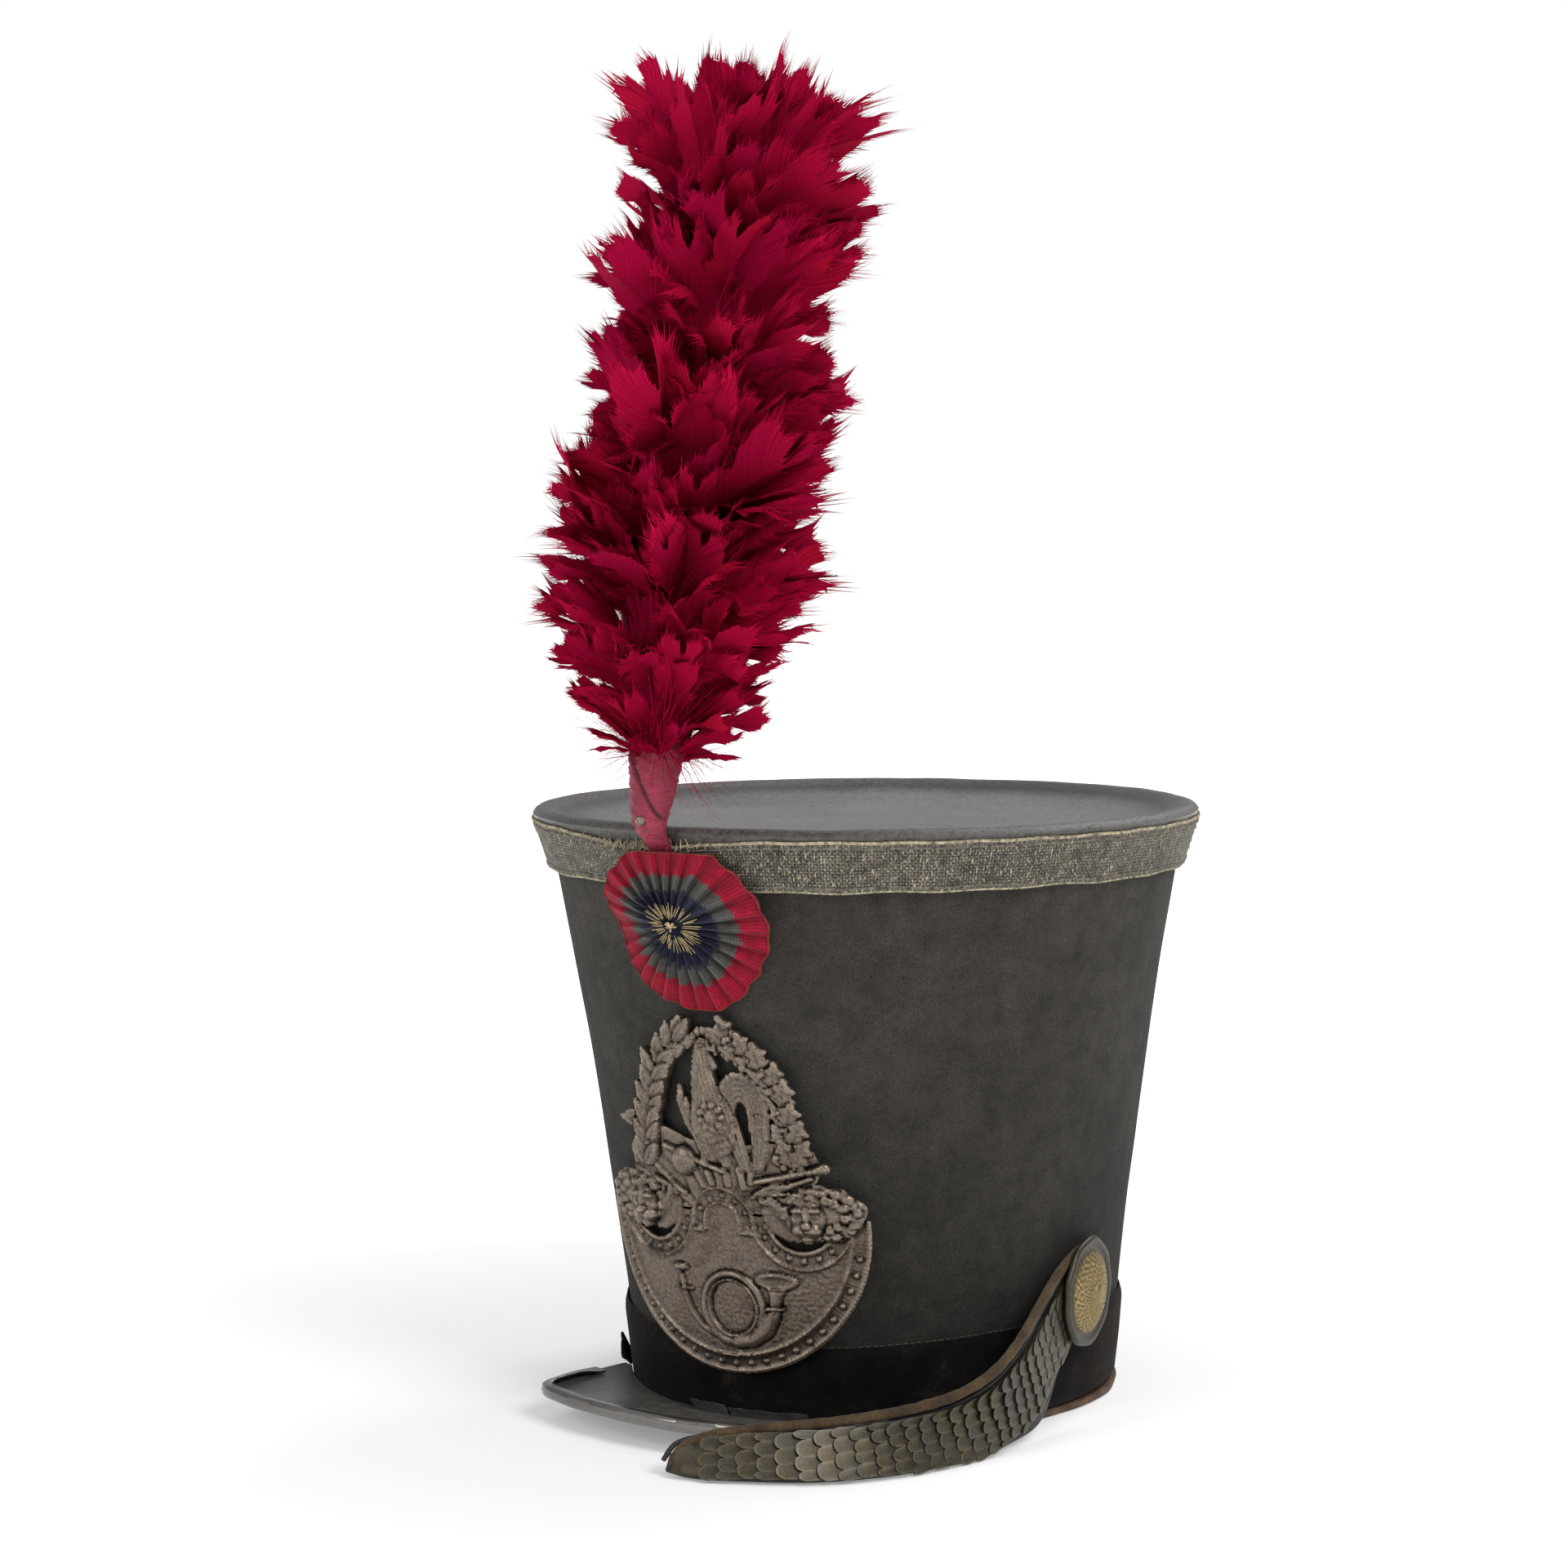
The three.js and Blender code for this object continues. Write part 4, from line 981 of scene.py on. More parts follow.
class SHAKO_OT_galloon(bpy.types.Operator):
    """Makes the woven galloon, its edge cords and its frayed threads"""

    bl_idname = "shako.galloon"
    bl_label = "Galloon"

    def execute(self, context):
        sizes, colours = context.scene.shako_sizes, context.scene.shako_colours
        woven = braid_finish(colours.galloon, colours.galloon_core)
        piece("galloon", galloon_mesh(), woven, "metal_braid", "top_galloon")
        cream = thread_finish("cream silk core thread", "#bfb496", "#57534a")
        grey = thread_finish("tarnished silver cord", "#827d71", "#3b3933")
        top, second, bottom, fourth = galloon_cord_paths()
        radius = sizes.galloon_cord_radius / MM
        piece("galloon_top_cord", swept([top], radius, cream), None, "metal_braid")
        piece("galloon_foot_cord", swept([bottom], 0.7 * radius, cream), None, "metal_braid")
        piece("galloon_cords", swept([second, fourth], 0.7 * radius, grey), None, "metal_braid")
        frayed = threads(*loose_threads(np.random.default_rng(5)), cream)
        piece("galloon_threads", frayed, None, "metal_braid")
        return {"FINISHED"}


# Peak


PEAK_OUTLINE = [
    (72.3, -57), (71.8, -72), (72.8, -97), (71, -111), (56, -121), (37, -128.4), (0, -134.8),
]


def peak_stations(count):
    """Inner points, rim points, outward directions and shares of the way along the peak, from its left."""
    half = np.array(PEAK_OUTLINE, float)
    other = half[-2::-1] * [-1, 1]
    rim = smooth_curve(np.vstack([half, other]), count) + [0, AXIS_Y]
    share = np.linspace(0, 1, count)
    lean = (1 - 2 * share) ** 2
    top = 6.2 + 2 * lean
    inner = on_wall(0.944 * (1 - 2 * share), top, 2.15)
    along = np.gradient(rim, axis=0)
    along /= np.linalg.norm(along, axis=1)[:, None]
    outward = np.stack([-along[:, 1], along[:, 0]], -1)
    outward *= np.where(np.sum(outward * (rim - [0, -40]), axis=1) < 0, -1, 1)[:, None]
    rim = np.column_stack([rim, 12 - 3 * lean ** 2])
    return inner, rim, outward, share


def peak_mesh():
    """The leather peak, a little dished between the wall and its rim."""
    inner, rim, _, share = peak_stations(90)
    across = np.concatenate([np.linspace(0, 1, 18), np.linspace(1, 0, 18)])
    under = np.concatenate([np.zeros(18), np.full(18, 2.6)])
    points = inner[:, None] + (rim - inner)[:, None] * across[None, :, None]
    dish = 0.9 * np.sin(math.pi * across) * np.sin(math.pi * share)[:, None]
    points[..., 2] -= under + np.where(under > 0, 0, dish)
    points[..., 2] += np.where(under > 0, 0, 0.2 * rough(points, 31, 30))
    return mesh_from("peak_leather", *lofted(points), sharp=50)


def peak_binding_mesh():
    """The metal strip folded over the rim, dented, and torn at the wearer's right front corner."""
    inner, rim, outward, share = peak_stations(170)
    keep = slice(13, 157)
    inner, rim, outward, share = inner[keep], rim[keep], outward[keep], share[keep]
    slope = (rim[:, 2] - inner[:, 2]) / np.linalg.norm((rim - inner)[:, :2], axis=1)
    torn = np.exp(-((share - 0.765) / 0.022) ** 2)
    lifted = smoothstep(share, 0.775, 0.8)
    uneven = 0.3 * np.sin(90 * share) * np.sin(37 * share) + 0.08 * np.sin(210 * share)
    flange = 3.4 * (1 - 0.6 * torn) + 0.6 * uneven + lifted
    loops = []
    for width, up, top in (
        (1.0, 2.3, 1), (0.6, 2.32, 1), (0.2, 2.34, 1), (-0.05, 2.3, 0), (-0.2, 1.7, 0),
        (-0.25, 0.6, 0), (-0.25, -0.6, 0),
        (-0.2, -1.7, 0), (-0.05, -2.3, 0), (0.3, -2.32, 0), (1.0, -2.3, 0), (1.0, -1.6, 0), (-0.05, -1.6, 0),
        (-0.05, 1.6, 0), (0.5, 1.6, 1), (1.0, 1.6, 1),
    ):
        out = -width * flange if width > 0 else np.full(len(share), -width * 5.5)
        raise_by = top * width ** 2 * (1.6 * lifted * (1 - smoothstep(share, 0.86, 0.92)) + 0.9 * torn)
        dents = 0.08 * np.sin(60 * share + 3 * width)
        height = rim[:, 2] - 1.3 + up + slope * out + raise_by + dents
        loops.append(np.column_stack([rim[:, :2] + outward * out[:, None], height]))
    return mesh_from("peak_rim", *lofted(np.array(loops).transpose(1, 0, 2)), sharp=45)


def leather_tab(angles, low, high, out, ragged, seed):
    """A thin strip of leather that stands on the wall's foot, with a ragged top edge."""
    rng = np.random.default_rng(seed)
    wander = np.interp(angles, np.linspace(angles[0], angles[-1], 12), rng.uniform(-1, 1, 12))
    share = np.array([0, 0.35, 0.7, 1.0])
    height = low + (high + ragged * wander - low)[:, None] * share
    off = out[0] + (out[1] - out[0]) * share ** 1.5 + 0.25 * wander[:, None] * share
    front = on_wall(angles[:, None], height, off + 0.7)
    back = on_wall(angles[:, None], height, off)
    return lofted(np.concatenate([front, back[:, ::-1]], 1))


def peak_welt_mesh():
    """The turned-up sewing edge of the peak: two strips along the foot of the velvet."""
    near = leather_tab(np.linspace(-0.03, 0.30, 30), 6.0, 9.6, (2.4, 5.0), 0.35, 2)
    middle = leather_tab(np.linspace(-0.22, -0.05, 20), 6.2, 10.2, (2.4, 4.6), 0.35, 7)
    return mesh_from("peak_welt", *joined([near, middle]), sharp=50)


def peak_corner_mesh():
    """The far corner of the peak's sewing edge, bent up against the velvet."""
    angles = np.linspace(-1.15, -0.97, 14)
    top = np.interp(angles, [-1.15, -1.07, -0.97], [9.4, 18.5, 10.5])
    return mesh_from("peak_corner", *leather_tab(angles, 8.0, top, (2.2, 5.0), 0.5, 4), sharp=50)


class SHAKO_OT_peak(bpy.types.Operator):
    """Makes the leather peak, its metal binding and its turned-up sewing edge"""

    bl_idname = "shako.peak"
    bl_label = "Peak"

    def execute(self, context):
        leather = peak_leather_finish()
        piece("peak_leather", peak_mesh(), leather, "black_leather", "peak")
        piece("peak_rim", peak_binding_mesh(), binding_finish(), "tarnished_silver", "peak_binding")
        piece("peak_welt", peak_welt_mesh(), leather, "black_leather")
        piece("peak_corner", peak_corner_mesh(), strap_leather_finish(), "black_leather")
        return {"FINISHED"}


# Front plate


def dome(share):
    """Height of a half ball of radius 1 at a share of the way to its rim."""
    return np.sqrt(np.clip(1 - share * share, 0, 1))


class Relief:
    """Outline and height, in millimetres, of a stamped plate over a grid of widths and heights."""

    def __init__(self, u, z):
        self.u, self.z = u, z
        self.inside = np.full(u.shape, -50.0)
        self.height = np.zeros(u.shape)

    def add(self, inside, height, over=False):
        """Adds a shape with a groove round it, over all that is below or only where it is the highest."""
        groove = 0.45 * np.exp(-((inside / 0.5) ** 2)) * (inside <= 0)
        self.height = np.where(self.height > 0.7, np.maximum(self.height - groove, 0.7), self.height)
        shown = (inside > 0) & (over | (height > self.height))
        self.height = np.where(shown, height, self.height)
        self.inside = np.maximum(self.inside, inside)

    def rod(self, path, foot, lift, ribs=0.0):
        """Adds a bent rod along rows of width, height and radius, with ribs along it if asked."""
        inside, radius = rod_inside(self.u, self.z, path)
        share = np.clip(inside / radius, 0, 1)
        ribbed = ribs * np.cos(share * radius * TURN / 1.5)
        self.add(inside, foot + lift * np.sqrt(share * (2 - share)) + ribbed)

    def ball(self, u, z, half_width, half_height, foot, lift):
        """Adds a rounded lump."""
        q = np.hypot((self.u - u) / half_width, (self.z - z) / half_height)
        self.add((1 - q) * min(half_width, half_height), foot + lift * dome(q))

    def leaf(self, u, z, direction, length, half_width, lobes=0):
        """Adds a leaf with a midrib and veins, lobed like an oak's if asked."""
        along = (self.u - u) * math.cos(direction) + (self.z - z) * math.sin(direction)
        across = (self.z - z) * math.cos(direction) - (self.u - u) * math.sin(direction)
        share = np.clip(along / length, 0.0, 1.0)
        reach = half_width * np.sin(math.pi * share ** 0.8) ** 0.85 + 0.02
        if lobes:
            reach = reach * (0.86 + 0.24 * np.cos(TURN * lobes * share + 0.6))
        inside = np.where((along > 0) & (along < length), reach - np.abs(across), -5.0)
        q = np.clip(np.abs(across) / reach, 0, 1)
        veins = 0.14 * np.sin(TURN * (along - 0.9 * np.abs(across)) / 2.2)
        midrib = -0.55 * np.exp(-((across / 0.42) ** 2))
        domed = 1.4 + 1.5 * dome(q) + 0.9 * share
        self.add(inside, domed + (veins + midrib) * (1 - share * 0.5), over=True)


def rod_inside(u, z, path):
    """How far inside a bent rod each place lies, and the rod's radius there."""
    inside = np.full(u.shape, -50.0)
    radius = np.ones(u.shape)
    for (u0, z0, r0), (u1, z1, r1) in zip(path, path[1:]):
        du, dz = u1 - u0, z1 - z0
        share = np.clip(((u - u0) * du + (z - z0) * dz) / (du * du + dz * dz), 0, 1)
        here = r0 + (r1 - r0) * share
        depth = here - np.hypot(u - u0 - share * du, z - z0 - share * dz)
        radius = np.where(depth > inside, here, radius)
        inside = np.maximum(inside, depth)
    return inside, radius


def stipple(u, z, pitch, seed):
    """Small rounded grains of a punched ground, from 0 between them to 1 on them."""
    rng = np.random.default_rng(seed)
    cells = rng.uniform(0.1, 0.9, (160, 160, 2))
    column, row = np.floor(u / pitch).astype(int), np.floor(z / pitch).astype(int)
    nearest = np.full(u.shape, 9.0)
    for i in (-1, 0, 1):
        for j in (-1, 0, 1):
            jitter = cells[(column + i) % 160, (row + j) % 160]
            away = np.hypot(u / pitch - column - i - jitter[..., 0], z / pitch - row - j - jitter[..., 1])
            nearest = np.minimum(nearest, away)
    return 1 - np.clip(nearest / 0.75, 0, 1) ** 2


def add_shield(relief, grain, stud_pitch):
    """The shield: a punched field inside raised borders with studs, round its foot, two bites and an arch."""
    u, z = relief.u, relief.z
    from_centre = np.hypot(u, z - 76)
    from_bite = np.hypot(np.abs(u) - 30, z - 79)
    from_arch = np.hypot(u - 0.5, z - 76)
    below = np.minimum(79 - z, from_bite - 11.6)
    inside = np.minimum(54 - from_centre, np.maximum(below, 12.8 - from_arch))
    turn = np.arctan2(z - 76, u)
    in_foot = from_centre > 47.6
    in_bite = (from_bite < 17.8) & ~in_foot
    in_arch = (from_arch > 7.2) & (from_arch < 13) & (z > 75) & ~in_bite
    hatch = np.where(in_foot, np.sin(turn * 230), np.sin((u + z) * 5))
    ground = np.where(in_foot | in_bite | in_arch, 0.9 + 0.09 * hatch, 1.25 + 0.24 * stipple(u, z, grain, 1))
    height = ground + 0.5 * np.exp(-((from_centre / 40) ** 2))

    def ridge(distance, where):
        return np.where(where, np.exp(-((distance / 0.85) ** 2)), 0)

    ridges = [
        ridge(from_centre - 53.1, z < 81),
        ridge(from_centre - 47.6, z < 79),
        ridge(from_bite - 12.4, (from_centre < 47.8) & (z < 79)),
        ridge(from_bite - 17.8, (from_centre < 47.8) & (z < 78)),
        ridge(from_arch - 12.1, (z > 74) & (from_bite > 17)),
        ridge(from_arch - 7.2, z > 73),
        ridge(z - 72.6, (np.abs(u - 0.5) > 6.9) & (np.abs(u - 0.5) < 12.4)),
    ]
    relief.add(inside, height + np.max(ridges, axis=0))
    studs = [(50.4 * math.cos(t), 76 + 50.4 * math.sin(t)) for t in np.arange(-3.0, -0.14, stud_pitch / 50.4)]
    for side in (-1, 1):
        for t in np.arange(math.pi + 0.5, TURN - 0.3, 0.36):
            place = (side * 30 + 15.1 * math.cos(t), 79 + 15.1 * math.sin(t))
            if math.hypot(place[0], place[1] - 76) < 46:
                studs.append(place)
    studs += [(-8.5, 80), (-4, 83.8), (1.2, 85.4), (6.4, 83.8), (10, 80)]
    studs += [(-14.6, 75.4), (-11, 75.2), (13, 75.2), (17, 75.4)]
    for place in studs:
        relief.ball(*place, 1.15, 1.15, 1.0, 1.05)


def add_horn(relief):
    """The hunting horn on the field: a coil, a mouth pipe on the left and a bell on the right."""
    turns = np.linspace(0, TURN, 49)
    for radius, thick in ((11.6, 1.7), (9.6, 0.7)):
        coil = [
            (2 + radius * math.cos(t), 45.6 + 1.05 * radius * math.sin(t), thick * (1 - 0.25 * math.sin(t)))
            for t in turns
        ]
        relief.rod(coil, 1.5, 1.5)
    pipe = [(-6, 35.4, 1.5), (-11, 37.4, 1.3), (-15.4, 42, 1.1), (-18.2, 48, 0.9), (-19.4, 55, 0.9)]
    relief.rod(pipe, 1.5, 1.1)
    relief.ball(-19.5, 58, 3.5, 1.5, 1.5, 1.3)
    relief.rod([(-20.6, 50.4, 0.6), (-14.8, 50.6, 0.6)], 1.5, 1.0)
    bell = [(3, 33.2, 2.0), (9, 34.4, 2.4), (14.4, 38.4, 2.9), (17.4, 43.4, 2.6), (18.4, 47, 2.0)]
    relief.rod(bell, 1.5, 2.0)
    relief.rod([(18.4, 47, 2.0), (19, 51, 2.6), (19.4, 54, 4.2)], 1.5, 1.8)
    relief.rod([(15.8, 46.4, 0.75), (21.2, 46.7, 0.75)], 2.8, 1.0)
    relief.ball(19.5, 56.2, 8.2, 3.2, 1.6, 1.4)
    mouth = np.hypot((relief.u - 19.5) / 7.0, (relief.z - 56.2) / 2.2)
    relief.height = np.where(mouth < 1, 1.7 + 0.9 * mouth ** 2, relief.height)


def add_lion(relief, side):
    """A lion's mask with a curled mane, its muzzle turned down towards the middle."""
    middle_u, middle_z = 37.6 * side, 81.0
    turn = np.arctan2(relief.z - middle_z, (relief.u - middle_u) * side)
    q = np.hypot((relief.u - middle_u) / 15.4, (relief.z - middle_z) / 9.9)
    locks = np.sin(13 * turn + 5 * q) * smoothstep(q, 0.3, 0.6)
    outline = (1 + 0.05 * np.sin(9 * turn) - q) * 9.5
    relief.add(outline, 1.6 + 2.1 * dome(q) + 0.5 * locks)
    rng = np.random.default_rng(40 + side)
    for ring, count, size in ((0.86, 17, 2.2), (0.58, 11, 2.1)):
        for k in range(count):
            t = TURN * (k + 0.5 * (ring < 0.7) + rng.uniform(-0.3, 0.3)) / count
            out = ring * rng.uniform(0.9, 1.06)
            place = (middle_u + 14 * out * math.cos(t) * side, middle_z + 9.4 * out * math.sin(t))
            wide = size * rng.uniform(0.75, 1.2)
            relief.ball(*place, wide, size * rng.uniform(0.65, 0.95), 2.2 + 1.3 * (1 - ring), 1.5)
            dip = np.hypot(relief.u - place[0], relief.z - place[1])
            relief.height -= 0.55 * np.exp(-((dip / 0.55) ** 2))
    for u, z, wide, tall, foot, lift in (
        (33.2, 79.4, 6.0, 6.2, 3.0, 2.6), (30.6, 75.6, 3.1, 2.6, 4.0, 2.6), (34.8, 75.6, 3.0, 2.6, 4.0, 2.6),
        (32.7, 77.4, 1.7, 1.5, 6.0, 1.3), (32.6, 72.6, 2.6, 1.7, 3.0, 1.9), (32.8, 81.2, 1.3, 3.2, 5.2, 1.1),
        (29.8, 82.4, 2.2, 1.2, 4.6, 1.4), (35.8, 82.6, 2.2, 1.2, 4.6, 1.4),
    ):
        relief.ball(u * side, z, wide, tall, foot, lift)
    for path, foot, lift in (
        ([(20, 85, 1.8), (24, 80.5, 2.6), (27.6, 77, 2.6), (30, 75, 1.6)], 1.5, 1.3),
        ([(18.6, 81, 2.6), (21.6, 76, 3.1), (26, 73.4, 2.8), (28.5, 72.4, 1.8)], 1.1, 0.9),
    ):
        relief.rod([(u * side, z, radius) for u, z, radius in path], foot, lift)
    for u in (30.0, 35.5):
        eye = np.hypot((relief.u - u * side) / 1.5, (relief.z - 80.4) / 1.0)
        relief.height -= 0.9 * np.exp(-(eye ** 2))


def add_trophy(relief):
    """The trophy of flags, poles and a ball between the lions, under the rooster."""
    u, z = relief.u, relief.z
    edge_u = [-40, -38, -29, -20.5, -12, -6, 0, 6, 12, 20.5, 29, 37, 39]
    low = [97, 93, 86, 80, 80, 86, 88, 86, 80, 80, 86, 92, 96]
    high = [97.5, 101, 107, 108, 105, 104, 104, 104, 104, 105, 106, 103, 98]
    inside = np.minimum(np.interp(u, edge_u, high) - z, z - np.interp(u, edge_u, low))
    inside = np.where(np.abs(u) < 39.5, inside, -5)
    fan = np.arctan2(z - 72, u)
    folds = np.abs(np.sin(11 * fan + 0.4 * np.sin(0.5 * z)))
    relief.add(inside, 1.3 + 0.95 * folds)
    for path in (
        [(-37, 91.5, 1.2), (-27, 88.5, 1.3), (-16, 86, 1.2)],
        [(-35, 100.5, 1.0), (-24, 92, 1.2), (-14, 85, 1.0)],
        [(-24, 86.5, 0.7), (-24.5, 83.5, 0.7)],
        [(-21, 87.5, 0.7), (-21.4, 83.6, 0.7)],
        [(-18, 88, 0.7), (-18, 84, 0.7)],
        [(35, 93.5, 1.1), (25, 89.5, 1.2), (14, 86, 1.2)],
        [(34, 100, 1.0), (25, 92.5, 1.2), (15, 87, 1.0)],
        [(20, 89.5, 0.8), (26, 90.5, 0.8)],
        [(20.5, 87, 0.7), (27, 87.8, 0.7)],
        [(17, 84.5, 1.4), (23, 83.5, 1.3)],
        [(-8, 93, 1.6), (-5.5, 88.5, 1.4)],
        [(-3.5, 93.5, 1.5), (-2, 89.5, 1.3)],
        [(4, 93, 1.7), (4.6, 89.6, 1.4)],
        [(9.5, 95, 1.8), (10.6, 89, 1.5)],
        [(14, 97, 1.7), (13.4, 91, 1.5)],
        [(-33, 97, 1.6), (-29, 103, 1.4), (-27, 108, 1.0)],
        [(32, 96.5, 1.5), (30.5, 103, 1.4), (29, 108, 1.0)],
        [(26, 97, 1.5), (24.6, 104, 1.3)],
    ):
        relief.rod(path, 1.7, 1.25)
    relief.rod([(-21, 101.4, 1.25), (-8, 97.6, 1.2), (3.4, 94.4, 1.1)], 2.0, 1.6)
    pole = [(15.6, 91.4, 1.1), (27, 94, 1.2), (36.6, 96.2, 1.2), (40, 97, 1.9), (41, 97.2, 1.2)]
    relief.rod(pole, 2.0, 1.6)
    relief.ball(-12.6, 96.8, 5.2, 5.2, 2.2, 3.2)
    relief.ball(24.5, 100, 2.4, 2.4, 2.2, 1.6)


def add_rooster(relief):
    """The rooster: body, hackled neck, comb, beak and wattle, one wing and the arched tail."""
    for offset in (-2, -1, 0, 1, 2):
        turns = np.linspace(math.pi + 0.5, -0.35, 18)
        reach = 5.8 + 2.0 * (offset + 2)
        arch_u = 12.4 + 0.66 * reach * np.cos(turns)
        arch_z = 114.5 + 1.02 * reach * np.sin(turns) + np.minimum(8 * turns, 0)
        relief.rod([(u, z, 1.35) for u, z in zip(arch_u, arch_z)], 1.5, 1.4)
    relief.rod([(18.6, 112, 3.2), (18.4, 104, 3.2), (16.5, 97, 2.6)], 1.4, 1.2, 0.22)
    relief.rod([(7.2, 112, 3.4), (9.2, 104, 3.4), (12, 97, 2.6)], 1.6, 1.4, 0.22)
    for shift, tall in ((0, 123.4), (2.2, 119), (4.2, 114)):
        wing = [(-3, 102, 2.4), (-8.6, 111, 2.6), (-11.6, 118 - shift, 2.0), (-11.4, tall, 0.8)]
        relief.rod([(u + shift, z, radius) for u, z, radius in wing], 1.6, 1.5)
    q = np.hypot((relief.u - 0.8) / 9.0, (relief.z - 110) / 13)
    plumage = 0.32 * np.abs(np.sin(1.5 * relief.u + 0.55 * relief.z))
    plumage += 0.3 * np.abs(np.sin(1.1 * relief.z - 0.5 * relief.u))
    relief.add((1 - q) * 9, 2.0 + 2.6 * dome(q) + plumage)
    neck = [(0.4, 112, 8.0), (-0.6, 120, 6.0), (-1.2, 128, 4.4), (-0.6, 135, 3.4), (-0.2, 138.6, 2.8)]
    relief.rod(neck, 2.0, 2.7, 0.22)
    for k in range(9):
        u = 1.4 + 3.9 * math.cos(TURN * k / 9)
        z = 113.6 + 4.1 * math.sin(TURN * k / 9)
        relief.ball(u, z, 1.5, 1.5, 4.0, 1.4)
    relief.ball(1.4, 113.6, 2.8, 2.8, 3.6, 1.9)
    for u, z, radius in ((-3.4, 141.6, 1.2), (-1.4, 143.2, 1.4), (0.8, 143.4, 1.4), (2.6, 141.8, 1.1)):
        relief.ball(u, z, radius, radius * 1.2, 1.8, 1.4)
    relief.rod([(1.6, 138.2, 1.7), (5.2, 136.8, 0.5)], 2.0, 1.7)
    relief.rod([(2.2, 134.4, 1.3), (3.6, 131.4, 1.4)], 2.0, 1.5)
    relief.ball(0.8, 138.8, 0.9, 0.8, 4.2, 1.0)
    relief.rod([(-4, 97, 2.0), (-3, 103, 3.0)], 1.6, 1.6, 0.2)
    relief.rod([(4.6, 97, 2.2), (4.2, 104, 3.4)], 1.6, 1.6, 0.2)


LAUREL_STEM = [(-32, 93), (-29.5, 104), (-27, 115), (-24, 124.5), (-18.8, 132.5), (-12.5, 138.5)]
OAK_STEM = [(29.5, 97), (29, 109), (26.5, 119.5), (22.5, 128), (16.5, 135), (11.5, 138.8)]


def add_branch(relief, stem, count, oak, rng):
    """One branch of the wreath, with rows of leaves each side of its stem and berries or acorns between."""
    line = smooth_curve(stem, count)
    along = np.gradient(line, axis=0)
    relief.rod([(*place, 4.4) for place in line[:-1]], 1.2, 0.5)
    for i in reversed(range(count)):
        (u, z), (du, dz) = line[i], along[i]
        direction = math.atan2(dz, du)
        leans = [0.5, -0.48] if i < count - 1 else [0.5, -0.48, 0.0]
        for lean in leans:
            length = (11.2 if oak else 12.0) * rng.uniform(0.88, 1.08)
            wide = (4.4 if oak else 3.0) * rng.uniform(0.9, 1.1)
            relief.leaf(u, z, direction + lean + rng.uniform(-0.14, 0.14), length, wide, 3 if oak else 0)
        if i % 2:
            berry = (u + rng.uniform(-3, 3), z + rng.uniform(-2, 2))
            relief.ball(*berry, *((1.8, 2.1) if oak else (1.1, 1.1)), 3.0, 1.2)
    if not oak:
        for u, z, direction in ((-33, 119, 2.6), (-35, 108, 2.9), (-34.5, 112, 3.6)):
            relief.leaf(u, z, direction, 7.5, 2.0)


def blurred(values, reach):
    """Values averaged over a square of grid places."""
    for axis in (0, 1):
        padded = np.pad(values, [(reach + 1, reach) if k == axis else (0, 0) for k in (0, 1)], mode="edge")
        total = np.cumsum(padded, axis=axis)
        size = 2 * reach + 1
        upper = np.take(total, np.arange(size, total.shape[axis]), axis=axis)
        lower = np.take(total, np.arange(0, total.shape[axis] - size), axis=axis)
        values = (upper - lower) / size
    return values


def largest_island(faces, count):
    """The faces of the largest connected part of a mesh."""
    corners = np.array([face + face[-1:] * (4 - len(face)) for face in faces])
    label = np.arange(count)
    while True:
        smallest = label[corners].min(axis=1)
        lowest = label.copy()
        np.minimum.at(lowest, corners, smallest[:, None])
        lowest = lowest[lowest]
        if np.array_equal(lowest, label):
            break
        label = lowest
    names, sizes = np.unique(smallest, return_counts=True)
    keep = names[np.argmax(sizes)]
    return [face for face, value in zip(faces, smallest) if value == keep]


def plate_out(u):
    """Distance of the plate's back off the wall: it is less curved than the wall, so its sides stand off."""
    return 2.15 + 2.6 * (u / 54) ** 2


